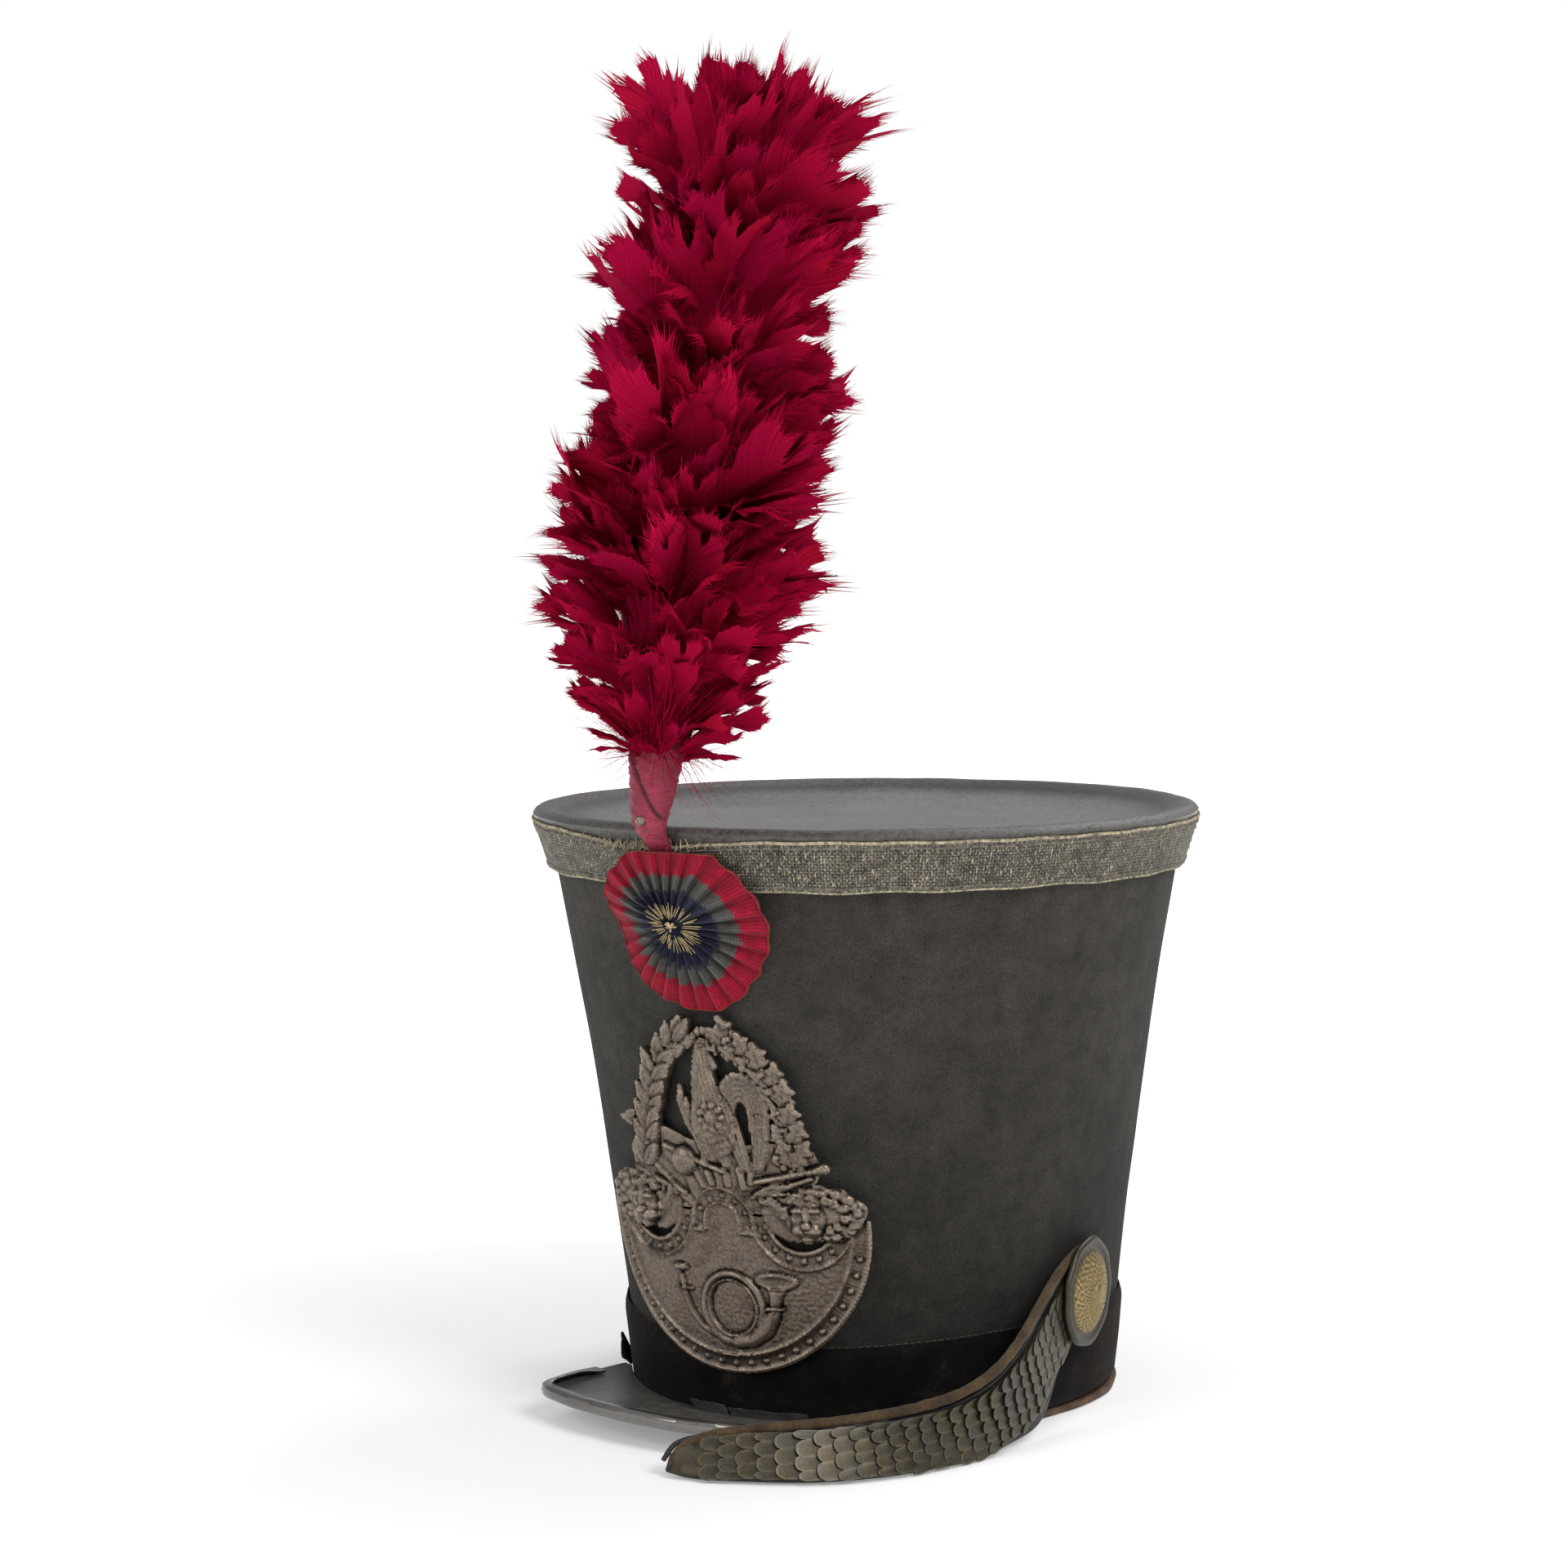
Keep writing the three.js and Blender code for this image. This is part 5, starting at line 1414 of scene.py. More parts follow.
def plate_mesh(step, grain, stud_pitch):
    """The stamped and pierced plate, flat behind, from its relief over a fine grid."""
    u, z = np.meshgrid(np.arange(-56, 56, step), np.arange(20, 151, step), indexing="ij")
    relief = Relief(u, z)
    add_shield(relief, grain, stud_pitch)
    add_horn(relief)
    add_trophy(relief)
    add_lion(relief, -1)
    add_lion(relief, 1)
    rng = np.random.default_rng(12)
    add_branch(relief, LAUREL_STEM, 9, False, rng)
    add_branch(relief, OAK_STEM, 8, True, rng)
    add_rooster(relief)

    slope_u, slope_z = np.gradient(relief.inside, step)
    steep = np.maximum(slope_u ** 2 + slope_z ** 2, 0.05)
    near = np.abs(relief.inside) / np.sqrt(steep) < 0.6 * step
    moved_u = np.where(near, u - slope_u / steep * relief.inside, u)
    moved_z = np.where(near, z - slope_z / steep * relief.inside, z)
    kept = (relief.inside > 0) | near
    height = np.where(relief.inside > 0, relief.height, 0)
    for _ in range(2):
        spread = np.max([np.roll(height, shift, axis) for shift in (-1, 1) for axis in (0, 1)], axis=0)
        height = np.where(kept & (height == 0), spread, height)
    # crest: the relief's height above its surroundings, for tarnish in the hollows and rubbing on the crests,
    # and for painted shade in the grooves and painted highlights on the crests
    crest = np.clip(0.5 + 0.45 * (height - blurred(height, 4)) + 0.03 * (height - 2), 0, 1)

    quads = grid(u.shape)[0]
    corners = kept.ravel()[quads]
    counts = corners.sum(axis=1)
    faces = [quad.tolist() for quad in quads[counts == 4]]
    cut = counts == 3
    faces += [quad[inside].tolist() for quad, inside in zip(quads[cut], corners[cut])]
    faces = largest_island(faces, u.size)
    used = np.unique(np.concatenate([np.asarray(face) for face in faces]))
    order = np.full(u.size, -1)
    order[used] = np.arange(len(used))
    flat_u, flat_z, tall = 0.96 * moved_u.ravel()[used], moved_z.ravel()[used], height.ravel()[used]
    front = on_front(flat_u, flat_z, plate_out(flat_u) + np.maximum(tall, 0.9))
    back = on_front(flat_u, flat_z, plate_out(flat_u))
    front_faces = [order[face].tolist() for face in faces]
    sides = {}
    for face in front_faces:
        for a, b in zip(face, face[1:] + face[:1]):
            if (b, a) in sides:
                del sides[(b, a)]
            else:
                sides[(a, b)] = True
    size = len(used)
    walls = [[b, a, a + size, b + size] for a, b in sides]
    whole = front_faces + [[i + size for i in face[::-1]] for face in front_faces] + walls
    points = np.vstack([front, back])
    # the back and the walls of the piercings get a low crest, so they are dark
    bright = np.concatenate([crest.ravel()[used], np.full(size, 0.3)])
    return mesh_from("front_plate", points, faced_out(points, whole), values={"crest": bright}, sharp=55)


class SHAKO_OT_plate(bpy.types.Operator):
    """Makes the stamped and pierced front plate"""

    bl_idname = "shako.plate"
    bl_label = "Front plate"

    def execute(self, context):
        sizes, colours = context.scene.shako_sizes, context.scene.shako_colours
        mesh = plate_mesh(sizes.plate_grid / MM, sizes.plate_grain / MM, sizes.plate_stud_pitch / MM)
        piece("front_plate", mesh, plate_finish(colours.plate), "tarnished_silver", "shako_plate")
        return {"FINISHED"}


# Cockade


COCKADE_U, COCKADE_Z = -4.0, 179.0
PLEAT_U, PLEAT_Z = -2.5, 180.0


def cockade_rim(turn):
    """Width and height of the cockade's crumpled outline, cut straight where it is tucked in at the top."""
    radius = 29.6 + 2.6 * np.cos(turn) + 1.2 * np.sin(turn) + 0.7 * np.sin(5 * turn + 1)
    radius = radius + 0.45 * np.sin(19 * turn + 1.5 * np.sin(2 * turn))
    rise = np.sin(turn)
    radius = np.where(rise > 0, np.minimum(radius, (205.4 - COCKADE_Z) / np.maximum(rise, 1e-6)), radius)
    return COCKADE_U + radius * np.cos(turn), COCKADE_Z + radius * rise


def cockade_at(turn, share, depth):
    """A point of the cockade by turn, share of the way to the rim and height above its back."""
    rim_u, rim_z = cockade_rim(turn)
    u = PLEAT_U + share * (rim_u - PLEAT_U)
    z = PLEAT_Z + share * (rim_z - PLEAT_Z)
    return on_front(u, z, mix(0.8, 7.2, smoothstep(z, 172, 192)) + depth)


def pleat_fold(turn, pleats):
    """Height of a place within its pleat, from -1 in the valleys to 1 on the crests."""
    phase = pleats * turn + 0.8 * np.sin(3 * turn + 1) + 0.5 * np.sin(5 * turn)
    return np.sin(phase + 0.7 * np.sin(phase))


def cockade_depth(turn, share, pleats, pleat_depth):
    """Height of the pleated ribbon above the cockade's back."""
    body = np.interp(share, [0, 0.1, 0.2, 0.55, 1.0], [7.4, 7.0, 6.2, 4.9, 2.7])
    swing = np.interp(share, [0, 0.12, 0.32, 0.62, 0.8, 1.0], [0, 0.5, 1.4, 1.4, 0.75, 0.5]) * pleat_depth
    flutter = 0.35 * np.sin(7 * turn + 2) * share ** 2
    return body + swing * pleat_fold(turn, pleats) + flutter


def cockade_mesh(pleats, pleat_depth):
    """The pleated rosette, a folded ribbon with a thin back."""
    turn = full_turn(pleats * 14)
    shares = np.linspace(0.03, 1, 36)
    back_shares = np.array([1.0, 0.75, 0.5, 0.25])
    loops = [cockade_at(turn, share, cockade_depth(turn, share, pleats, pleat_depth)) for share in shares]
    for share in back_shares:
        depth = cockade_depth(turn, share, pleats, pleat_depth) - 1.1 - 2 * (1 - share)
        loops.append(cockade_at(turn, share, np.maximum(depth, 0.3)))
    points, faces = lofted(loops, start=cockade_at(0.0, 0.0, 7.5), end=cockade_at(0.0, 0.0, 2.5))
    rows = np.concatenate([shares, back_shares])
    # strong: how far the pleats' crest value, which paints their shade and highlight, swings at each row
    strong = np.interp(rows, [0, 0.15, 0.3, 0.65, 0.8, 1.0], [0, 0.6, 1, 0.95, 0.5, 0.35])
    values = {
        "rim_share": np.repeat(rows, len(turn)),
        "pleat": np.tile(turn * pleats / TURN, len(rows)),
        "crest": (0.55 + 0.45 * strong[:, None] * pleat_fold(turn, pleats)).ravel(),
    }
    values = {name: np.concatenate([numbers, [0, 0]]) for name, numbers in values.items()}
    return mesh_from("cockade_ribbon", points, faces, values=values, sharp=60)


def cockade_stitches(count, pleats, pleat_depth, material):
    """Long straw-coloured stitches that hold the pleats round the middle."""
    rng = np.random.default_rng(17)
    outward = on_front(PLEAT_U, PLEAT_Z, 10.0) - on_front(PLEAT_U, PLEAT_Z, 0.0)
    places, turns, stretches = [], [], []
    for k in range(count):
        turn = TURN * (k + rng.uniform(-0.3, 0.3)) / count
        ends = []
        for share in (rng.uniform(0.1, 0.18), rng.uniform(0.27, 0.36)):
            depth = cockade_depth(turn, share, pleats, 0) + 0.95
            ends.append(cockade_at(turn + rng.uniform(-0.05, 0.05), share, depth))
        places.append((ends[0] + ends[1]) / 2)
        turns.append(euler_of(*frame_of(ends[1] - ends[0], outward)))
        stretches.append([0.35, 0.36, np.linalg.norm(ends[1] - ends[0]) / 2])
    for k in range(14):
        turn = rng.uniform(0, TURN)
        end = cockade_at(turn, 0.06, 8.5)
        middle = cockade_at(turn, 0.0, 8.4)
        places.append((end + middle) / 2)
        turns.append(euler_of(*frame_of(end - middle, outward)))
        stretches.append([0.75, 0.75, 1.3])
    return threads(places, turns, stretches, material)


class SHAKO_OT_cockade(bpy.types.Operator):
    """Makes the pleated ribbon cockade, its stitches and its bound edge"""

    bl_idname = "shako.cockade"
    bl_label = "Cockade"

    def execute(self, context):
        sizes, colours = context.scene.shako_sizes, context.scene.shako_colours
        depth = sizes.pleat_depth / MM
        ribbon = ribbon_finish(colours.ribbon_red, colours.ribbon_stripe, colours.ribbon_middle)
        piece("cockade_ribbon", cockade_mesh(sizes.pleats, depth), ribbon, "ribbon", "cockade")
        straw = thread_finish("straw silk thread", "#c6b386", "#86734c")
        stitches = cockade_stitches(sizes.cockade_stitches, sizes.pleats, depth, straw)
        piece("cockade_stitches", stitches, None, "ribbon")
        turn = full_turn(360)
        edge = cockade_at(turn, 0.995, cockade_depth(turn, 1.0, sizes.pleats, depth) + 0.1)
        rim = thread_finish("rusted wire edge in red silk", "#7c3a2c", "#6e1220")
        piece("cockade_edge", swept([edge], 0.27, rim), None, "ribbon")
        return {"FINISHED"}


# Plume and its socket


PLUME_BASE = np.array([-7.0, -137.0 + AXIS_Y, 238.6])
PLUME_TIP = np.array([8.0, -113.0 + AXIS_Y, 476.0])


def plume_centre(share):
    return PLUME_BASE + (PLUME_TIP - PLUME_BASE) * np.asarray(share)[..., None]


def plume_reach(share, turn):
    """How far the feathers stand out from the middle of the plume along its height and round it."""
    places = [-0.1, 0, 0.05, 0.1, 0.15, 0.35, 0.45, 0.6, 0.75, 0.85, 0.92, 0.97, 1.0, 1.05]
    reach = [18, 22, 29, 36, 40, 42, 44, 42, 45, 47, 44, 38, 33, 28]
    right = math.cos(turn - 0.53)
    bare_side = max(-right, 0) * np.interp(share, [0.4, 0.58], [0, 1])
    return np.interp(share, places, reach) * (1 + 0.06 * right - 0.36 * bare_side)


def feather_shape(rng, fine, curl):
    """A feather 60 mm long along Z that faces +Y: a quill, a smooth vane with splits each side and barb tips.

    Its points hold how far out along its barb they lie, and which barb it is in millimetres along the quill.
    """
    points, faces, barb, line = [], [], [], []
    half_width, bend, cup = rng.uniform(15.0, 20.0), rng.uniform(-7, 7), rng.uniform(-0.1, 0.3)
    stations = np.linspace(0.08, 1.0, 16)

    def quill(t):
        return np.array([bend * t * t, 60 * curl * t * t, 60 * t * (1 - 0.35 * curl * t)])

    def point(place, out, along):
        points.append(place)
        barb.append(out)
        line.append(along)
        return len(points) - 1

    for side in (-1, 1):
        outline = np.interp(stations, [0, 0.2, 0.4, 0.65, 0.85, 1], [0.5, 0.75, 0.95, 1, 0.8, 0.35])
        reach = half_width * outline * rng.uniform(0.88, 1.08, 16)
        reach[rng.integers(4, 15, 2)] *= 0.72
        lift = np.convolve(rng.normal(0, 0.14, 18), [0.3, 0.4, 0.3], "valid")
        lean = np.convolve(rng.normal(0, 0.16, 18), [0.3, 0.4, 0.3], "valid")

        def vane(t, s):
            swing = mix(1.1, 0.42, t) + np.interp(t, stations, lean) * s
            out = np.interp(t, stations, reach) * s / max(math.sin(swing), 0.5)
            deep = (cup + np.interp(t, stations, lift)) * out * s
            turned = swing - 0.25 * s
            return quill(t) + np.array([side * out * math.sin(turned), deep, out * math.cos(turned)])

        rows = [[point(vane(t, s), s, 60 * t + 90 * side) for s in (0, 0.3, 0.6, 0.86)] for t in stations]
        for row, after in zip(rows, rows[1:]):
            faces += [[row[k], row[k + 1], after[k + 1], after[k]] for k in range(3)]
        fringe = np.linspace(0.08, 1.0, 46)
        for t, after in zip(fringe, fringe[1:]):
            half_way = (t + after) / 2
            along = 60 * t + 90 * side
            for start, end, chance in ((t, half_way, rng), (half_way, after, fine)):
                tip = vane(mix(t, after, chance.uniform(-1, 2)), chance.uniform(0.95, 1.24))
                barb_ends = ((vane(start, 0.85), 0.85), (vane(end, 0.85), 0.85), (tip, 1.0))
                faces.append([point(place, out, along) for place, out in barb_ends])
        ahead = (quill(1.0) - quill(0.9)) / 6
        across = np.linspace(0, 0.85, 9)
        for s, beyond in zip(across, across[1:]):
            tip = vane(1.0, (s + beyond) / 2 + fine.uniform(-0.1, 0.1)) + ahead * fine.uniform(1.5, 6)
            barb_ends = ((vane(1.0, s), 0.85), (vane(1.0, beyond), 0.85), (tip, 1.0))
            faces.append([point(place, out, 60 + 90 * side) for place, out in barb_ends])
    raised = np.array([0, 0.3, 0])
    rows = []
    for t in np.linspace(0, 0.92, 7):
        wide = np.array([0.42 * (1.05 - t), 0.0, 0.0])
        rows.append([point(quill(t) + way * wide + raised, 1.0, 0.0) for way in (-1, 1)])
    faces += [[row[0], row[1], after[1], after[0]] for row, after in zip(rows, rows[1:])]
    return mesh_from("feather", np.array(points), faces, values={"barb": barb, "line": line}, sharp=180)


def wisp_shape(rng):
    """A loose filament 40 mm long along Z, a thin bent strip."""
    points, faces, tips = [], [], []
    bow, sway = rng.uniform(-6, 6), rng.uniform(-5, 5)
    for k, t in enumerate(np.linspace(0, 1, 7)):
        centre = np.array([bow * t * t, sway * math.sin(2 * t), 40 * t])
        half = 0.3 * (1 - 0.9 * t) + 0.05
        points += [centre - [half, 0, 0], centre + [half, 0, 0]]
        # tips: lighter towards the end, the painted glow of light through the thin filament
        tips += [0.3 + 0.6 * t] * 2
        if k:
            faces.append([2 * k - 2, 2 * k - 1, 2 * k + 1, 2 * k])
    return mesh_from("wisp", np.array(points), faces, values={"barb": tips, "line": tips}, sharp=180)


def plume_layout(rng, whorls, per_whorl, tiers):
    """Rows of share of the height, turn, lean, tilt, size, roll and root radius, drawn into tiers."""
    rows = []
    for whorl in range(whorls):
        level = whorl / (whorls - 1)
        for k in range(per_whorl):
            tier = round(level * tiers) / tiers
            share = mix(0.005, 0.79, mix(level, tier, 0.4)) + rng.normal(0, 0.012)
            turn = TURN * (k + 0.5 * (whorl % 2) + rng.uniform(-0.35, 0.35)) / per_whorl
            steep = np.interp(level, [0, 0.1, 0.3, 0.6, 0.8, 0.93, 1], [56, 52, 45, 43, 41, 36, 22])
            lean = math.radians(steep) + rng.normal(0, 0.18)
            if level > 0.97:
                lean *= rng.uniform(0.2, 1.5)
            size = rng.uniform(0.82, 1.12)
            tilt = np.clip(rng.normal(0, 0.4), -0.65, 0.65) * np.interp(level, [0, 0.12], [0.3, 1.0])
            roll = rng.normal(0, 0.5)
            rows.append((share, turn, lean, tilt, size, roll, rng.uniform(4, 10)))
    return rows


def placed_feathers(rows, rng, kinds):
    """Feather places, turns, stretches and kinds from the plume's rows."""
    tall = np.linalg.norm(PLUME_TIP - PLUME_BASE)
    axis = (PLUME_TIP - PLUME_BASE) / tall
    places, turns, stretches, chosen = [], [], [], []
    for share, turn, lean, tilt, size, roll, root in rows:
        outward = np.array([math.cos(turn), math.sin(turn), 0.0])
        outward -= np.dot(outward, axis) * axis
        outward /= np.linalg.norm(outward)
        up = axis * math.cos(tilt) + np.cross(axis, outward) * math.sin(tilt)
        reach = plume_reach(share + 0.17 * math.cos(lean), turn)
        length = 0.8 * size * (reach - root) / max(math.sin(lean + 0.12), 0.42)
        length *= np.interp(share, [0, 0.1], [0.85, 1.0])
        length = min(length, 56, 0.7 * (0.99 - share) * tall / max(math.cos(lean) * math.cos(tilt), 0.3))
        along = outward * math.sin(lean) + up * math.cos(lean)
        facing = outward * math.cos(lean) - up * math.sin(lean)
        side = np.cross(along, facing)
        facing = facing * math.cos(roll) + side * math.sin(roll)
        places.append(plume_centre(share) + root * outward)
        turns.append(euler_of(*frame_of(along, facing)))
        wide = rng.uniform(0.85, 1.1) * math.sqrt(length / 52) * np.interp(share, [0, 0.14], [0.55, 1.0])
        stretches.append([wide, np.interp(share, [0, 0.14], [0.45, 1.0]), length / 60])
        chosen.append(int(rng.integers(kinds)))
    return places, turns, stretches, chosen


def plume_core_mesh():
    """The stem of the plume in the feathers' darkest tone, painted shade that shows only deep between the
    feathers.
    """
    loops = []
    for share, radius in ((0, 8), (0.05, 12), (0.2, 15), (0.5, 16), (0.8, 16), (0.9, 10), (0.95, 3)):
        turn = full_turn(24)
        wavy = radius * (1 + 0.12 * np.sin(5 * turn + 9 * share))
        ring = np.stack([wavy * np.cos(turn), wavy * np.sin(turn), 0 * turn], -1)
        loops.append(plume_centre(share) + ring)
    points, faces = lofted(loops)
    # barb 0 and shade 1 give the stem the darkest feather tone, painted shade for the plume's depth
    values = {"barb": np.zeros(len(points)), "shade": np.ones(len(points))}
    return mesh_from("plume_stem", points, faces, values=values)


def socket_sections():
    """Rows of height, half width, half depth and middle of the leather socket."""
    def wall_y(height, out):
        return float(on_front(PLUME_BASE[0], height, out)[1])

    base = PLUME_BASE[1]
    rows = [
        (188, 4.5, 0.7, wall_y(188, 3.6)), (192, 4.5, 0.7, wall_y(192, 4.6)),
        (199, 4.6, 0.75, wall_y(199, 5.2)), (206, 4.8, 0.9, wall_y(206, 5.9)),
        (209, 5.0, 2.2, wall_y(209, 7.6)), (213, 5.4, 4.2, wall_y(213, 9.8)),
        (218, 6.0, 5.8, base - 4.0), (224, 7.0, 7.0, base - 2.6), (231, 8.0, 8.0, base - 1.2),
        (238, 9.0, 8.8, base + 0.2), (243, 9.2, 9.0, base + 0.8),
    ]
    return smooth_curve(rows, 64)


def socket_mesh():
    """The leather sleeve, with a flap that is folded across its front and riveted."""
    turn = full_turn(110)
    loops, seam = [], []
    for height, half_width, half_depth, middle in socket_sections():
        u = half_width * np.cos(turn)
        front = smoothstep(-np.sin(turn), -0.1, 0.4)
        edge = mix(-7.5, 5.6, (241 - height) / 25)
        tip = 213.5 + 0.25 * (u + 7)
        lap = smoothstep(edge - u, 0, 0.5) * front * smoothstep(height - tip, 0, 0.8)
        creases = 0.18 * np.sin(1.6 * height + 0.9 * u) + 0.12 * np.sin(3.1 * height - 1.7 * u)
        fat = 0.95 * lap + creases * min(half_depth / 6, 1)
        shown = smoothstep(height, tip[0] - 1, tip[0] + 1) * front
        # seam: a line just beyond the flap's edge, where the finish paints its shadow
        seam.append(shown * np.exp(-(((u - edge - 0.3) / 0.6) ** 2)))
        x = PLUME_BASE[0] + (half_width + fat) * np.cos(turn)
        y = middle + (half_depth + fat) * np.sin(turn)
        loops.append(np.stack([x, y, np.full(110, height)], -1))
    points, faces = lofted(loops)
    return mesh_from("socket_leather", points, faces, values={"seam": np.ravel(seam)}, sharp=60)


def rivet_mesh():
    """The silver rivet on the socket's flap, a low dome with a flat head."""
    way = np.array([0.05, -1, -0.3])
    across, facing, along = frame_of(way, [1, 0, 0])
    foot = np.array([PLUME_BASE[0] - 0.4, PLUME_BASE[1] - 10.2, 216.4])
    turn = full_turn(28)
    loops = []
    for radius, height in (
        (1.7, -0.4), (1.8, 0.3), (1.6, 0.7), (1.2, 1.0), (0.7, 1.2), (0.6, 1.0), (0.3, 1.0),
    ):
        ring = np.cos(turn)[:, None] * across + np.sin(turn)[:, None] * facing
        loops.append(foot + radius * ring + height * along)
    points, faces = lofted(loops)
    return mesh_from("socket_stud", points, faces, values={"crest": np.full(len(points), 0.8)})


class SHAKO_OT_plume(bpy.types.Operator):
    """Makes the plume's feathers and loose wisps, and the leather socket that holds it"""

    bl_idname = "shako.plume"
    bl_label = "Plume"

    def execute(self, context):
        sizes, colours = context.scene.shako_sizes, context.scene.shako_colours
        morocco = red_leather_finish(colours.socket)
        piece("socket_leather", socket_mesh(), morocco, "red_leather", "plume_socket")
        piece("socket_stud", rivet_mesh(), plate_finish(colours.plate), "tarnished_silver", "socket_rivet")
        crimson = feather_finish(colours.feather, colours.feather_deep)
        piece("plume_stem", plume_core_mesh(), crimson, "feather", "plume")
        rng = np.random.default_rng(sizes.plume_seed)
        fine = np.random.default_rng(sizes.plume_seed + 1)
        shapes = [feather_shape(rng, fine, rng.uniform(0.05, 0.35)) for _ in range(12)]
        rows = plume_layout(rng, sizes.whorls, sizes.feathers_per_whorl, 8)
        rows.sort(key=lambda row: row[0])
        third = len(rows) // 3
        for name, part in (
            ("feathers_lower", rows[:third]),
            ("feathers_middle", rows[third:2 * third]),
            ("feathers_upper", rows[2 * third:]),
        ):
            mesh = scattered(*placed_feathers(part, rng, len(shapes)), shapes, crimson, sizes.plume_seed)
            piece(name, mesh, None, "feather")
        wisps = [wisp_shape(rng) for _ in range(8)]
        loose = []
        for count, shares, leans, lengths, root in (
            (1300, (0.0, 0.78), (0.45, 1.15), (0.86, 1.15), 14.0),
            (380, (-0.012, 0.03), (0.9, 2.3), (2.6, 5.4), 9.0),
        ):
            for _ in range(count):
                share, lean, size = rng.uniform(*shares), rng.uniform(*leans), rng.uniform(*lengths)
                loose.append((share, rng.uniform(0, TURN), lean, rng.uniform(-0.4, 0.4), size, 0.0, root))
        mesh = scattered(*placed_feathers(loose, rng, len(wisps)), wisps, crimson, sizes.plume_seed)
        piece("plume_wisps", mesh, None, "feather")
        return {"FINISHED"}


# Chin straps


STRAP_LOW = [
    (88.5, 3, 41), (88.3, -14, 31.5), (89, -31, 22), (91, -50, 10.5), (91, -70, 4), (88.5, -88, 0.8),
    (83.5, -106, 0.5), (74, -126, 0.5), (58, -144, 0.5), (38, -154.5, 0.5),
    (20, -160, 0.5), (11, -160.5, 1.5),
]
STRAP_HIGH = [
    (91.2, -9, 66), (90.4, -31, 58.5), (90.3, -47, 49), (91, -64, 39.5), (89.5, -81, 31), (84, -95, 25.5),
    (76.5, -107, 22.5), (66, -121.5, 20.5), (51.5, -135.5, 19), (33, -145, 17),
    (17.5, -152, 12.5), (10.5, -156, 7.5),
]
LACE_ROUTE = [
    (9.4, -160.4, 5.6), (10.4, -154.5, 9.8), (17, -148.2, 12), (25, -143.8, 12.4),
    (33, -141.4, 9), (41, -139.4, 3.4), (48, -134.8, 1.3),
]
BOSS_PLACE = np.array([92.4, -14 + AXIS_Y, 45.0])
BOSS_WAY = np.array([1, 0.06, -0.03])
SIDES = (("left", lambda points: points), ("right", to_right_side))


class Strap:
    """The left strap's back face between its low and high edge, by length from its top end."""

    def __init__(self):
        self.low = dense_curve(STRAP_LOW, 34) + [0, AXIS_Y, 0]
        self.high = dense_curve(STRAP_HIGH, 34) + [0, AXIS_Y, 0]
        self.lengths = lengths_along((self.low + self.high) / 2)
        self.length = self.lengths[-1]

    def edges(self, length):
        return at_lengths(self.low, self.lengths, length), at_lengths(self.high, self.lengths, length)

    def along(self, length):
        before, after = np.clip(length - 2.0, 0, self.length), np.clip(length + 2.0, 0, self.length)
        way = sum(self.edges(after)) - sum(self.edges(before))
        return way / np.linalg.norm(way, axis=-1, keepdims=True)

    def normal(self, length):
        low, high = self.edges(length)
        way = np.cross(high - low, self.along(length))
        return way / np.linalg.norm(way, axis=-1, keepdims=True)

    def at(self, length, across, out):
        """Points by length, share of the width from the low edge and distance off the back face."""
        length, across, out = np.broadcast_arrays(np.asarray(length, float), across, out)
        low, high = self.edges(length)
        return low + (high - low) * across[..., None] + self.normal(length) * out[..., None]


def strap_backing_loops(strap):
    """The leather strip behind the scales, with rounded edges and a worn flap below its low edge."""
    length = np.linspace(0, strap.length, 130)[:, None]
    across = np.array([0.015, 0, 0, 0.015, 0.3, 0.6, 0.805, 0.82, 0.82, 0.805, 0.6, 0.3])
    out = np.array([0, 0.4, 1.4, 1.8, 1.8, 1.8, 1.8, 1.4, 0.4, 0, 0, 0])
    flap = 0.17 * np.exp(-(((length - 60) / 20) ** 2)) * (across < 0.02)
    return strap.at(length, across - flap, out)


def strap_roll_loops(strap):
    """The padded roll along the strap's upper edge and round its tip, lumpy with its stuffing."""
    end = strap.length
    path = smooth_curve([
        (4, 0.9), (30, 0.915), (end - 60, 0.915), (end - 30, 0.89), (end - 9, 0.87), (end - 3.5, 0.79),
        (end - 1.4, 0.6), (end - 0.8, 0.38), (end - 0.8, 0.12),
    ], 200)
    middle = strap.at(path[:, 0], path[:, 1], 1.4)
    ahead = np.gradient(middle, axis=0)
    ahead /= np.linalg.norm(ahead, axis=1)[:, None]
    facing = strap.normal(path[:, 0])
    sideways = np.cross(ahead, facing)
    turn = full_turn(20)
    share = np.linspace(0, 1, len(path))[:, None]
    close = np.sqrt(np.clip(1 - (2 * share - 1) ** 40, 0.02, 1))
    length = path[:, :1]
    lumps = 1 + 0.06 * np.sin(length * 0.41) * np.sin(length * 0.17 + 1)
    lumps = lumps + 0.03 * np.sin(3 * turn + length * 0.9)
    half = np.interp(length, [0, 40, end - 30, end], [1.5, 1.8, 1.8, 2.1]) * lumps * close
    high = 1.7 * lumps * close
    return (
        middle[:, None] + sideways[:, None] * (half * np.cos(turn))[..., None]
        + facing[:, None] * (high * np.sin(turn))[..., None]
    )


def scale_strip_loops(strap):
    """The sheet metal under the scales, with its turned edge."""
    length = np.linspace(14, strap.length - 2.5, 120)[:, None]
    across = np.array([0.02, 0.02, 0.05, 0.3, 0.55, 0.76, 0.79, 0.79])
    out = np.array([2.1, 2.7, 3.0, 2.7, 2.7, 3.0, 2.7, 2.1])
    return strap.at(length, across, out)


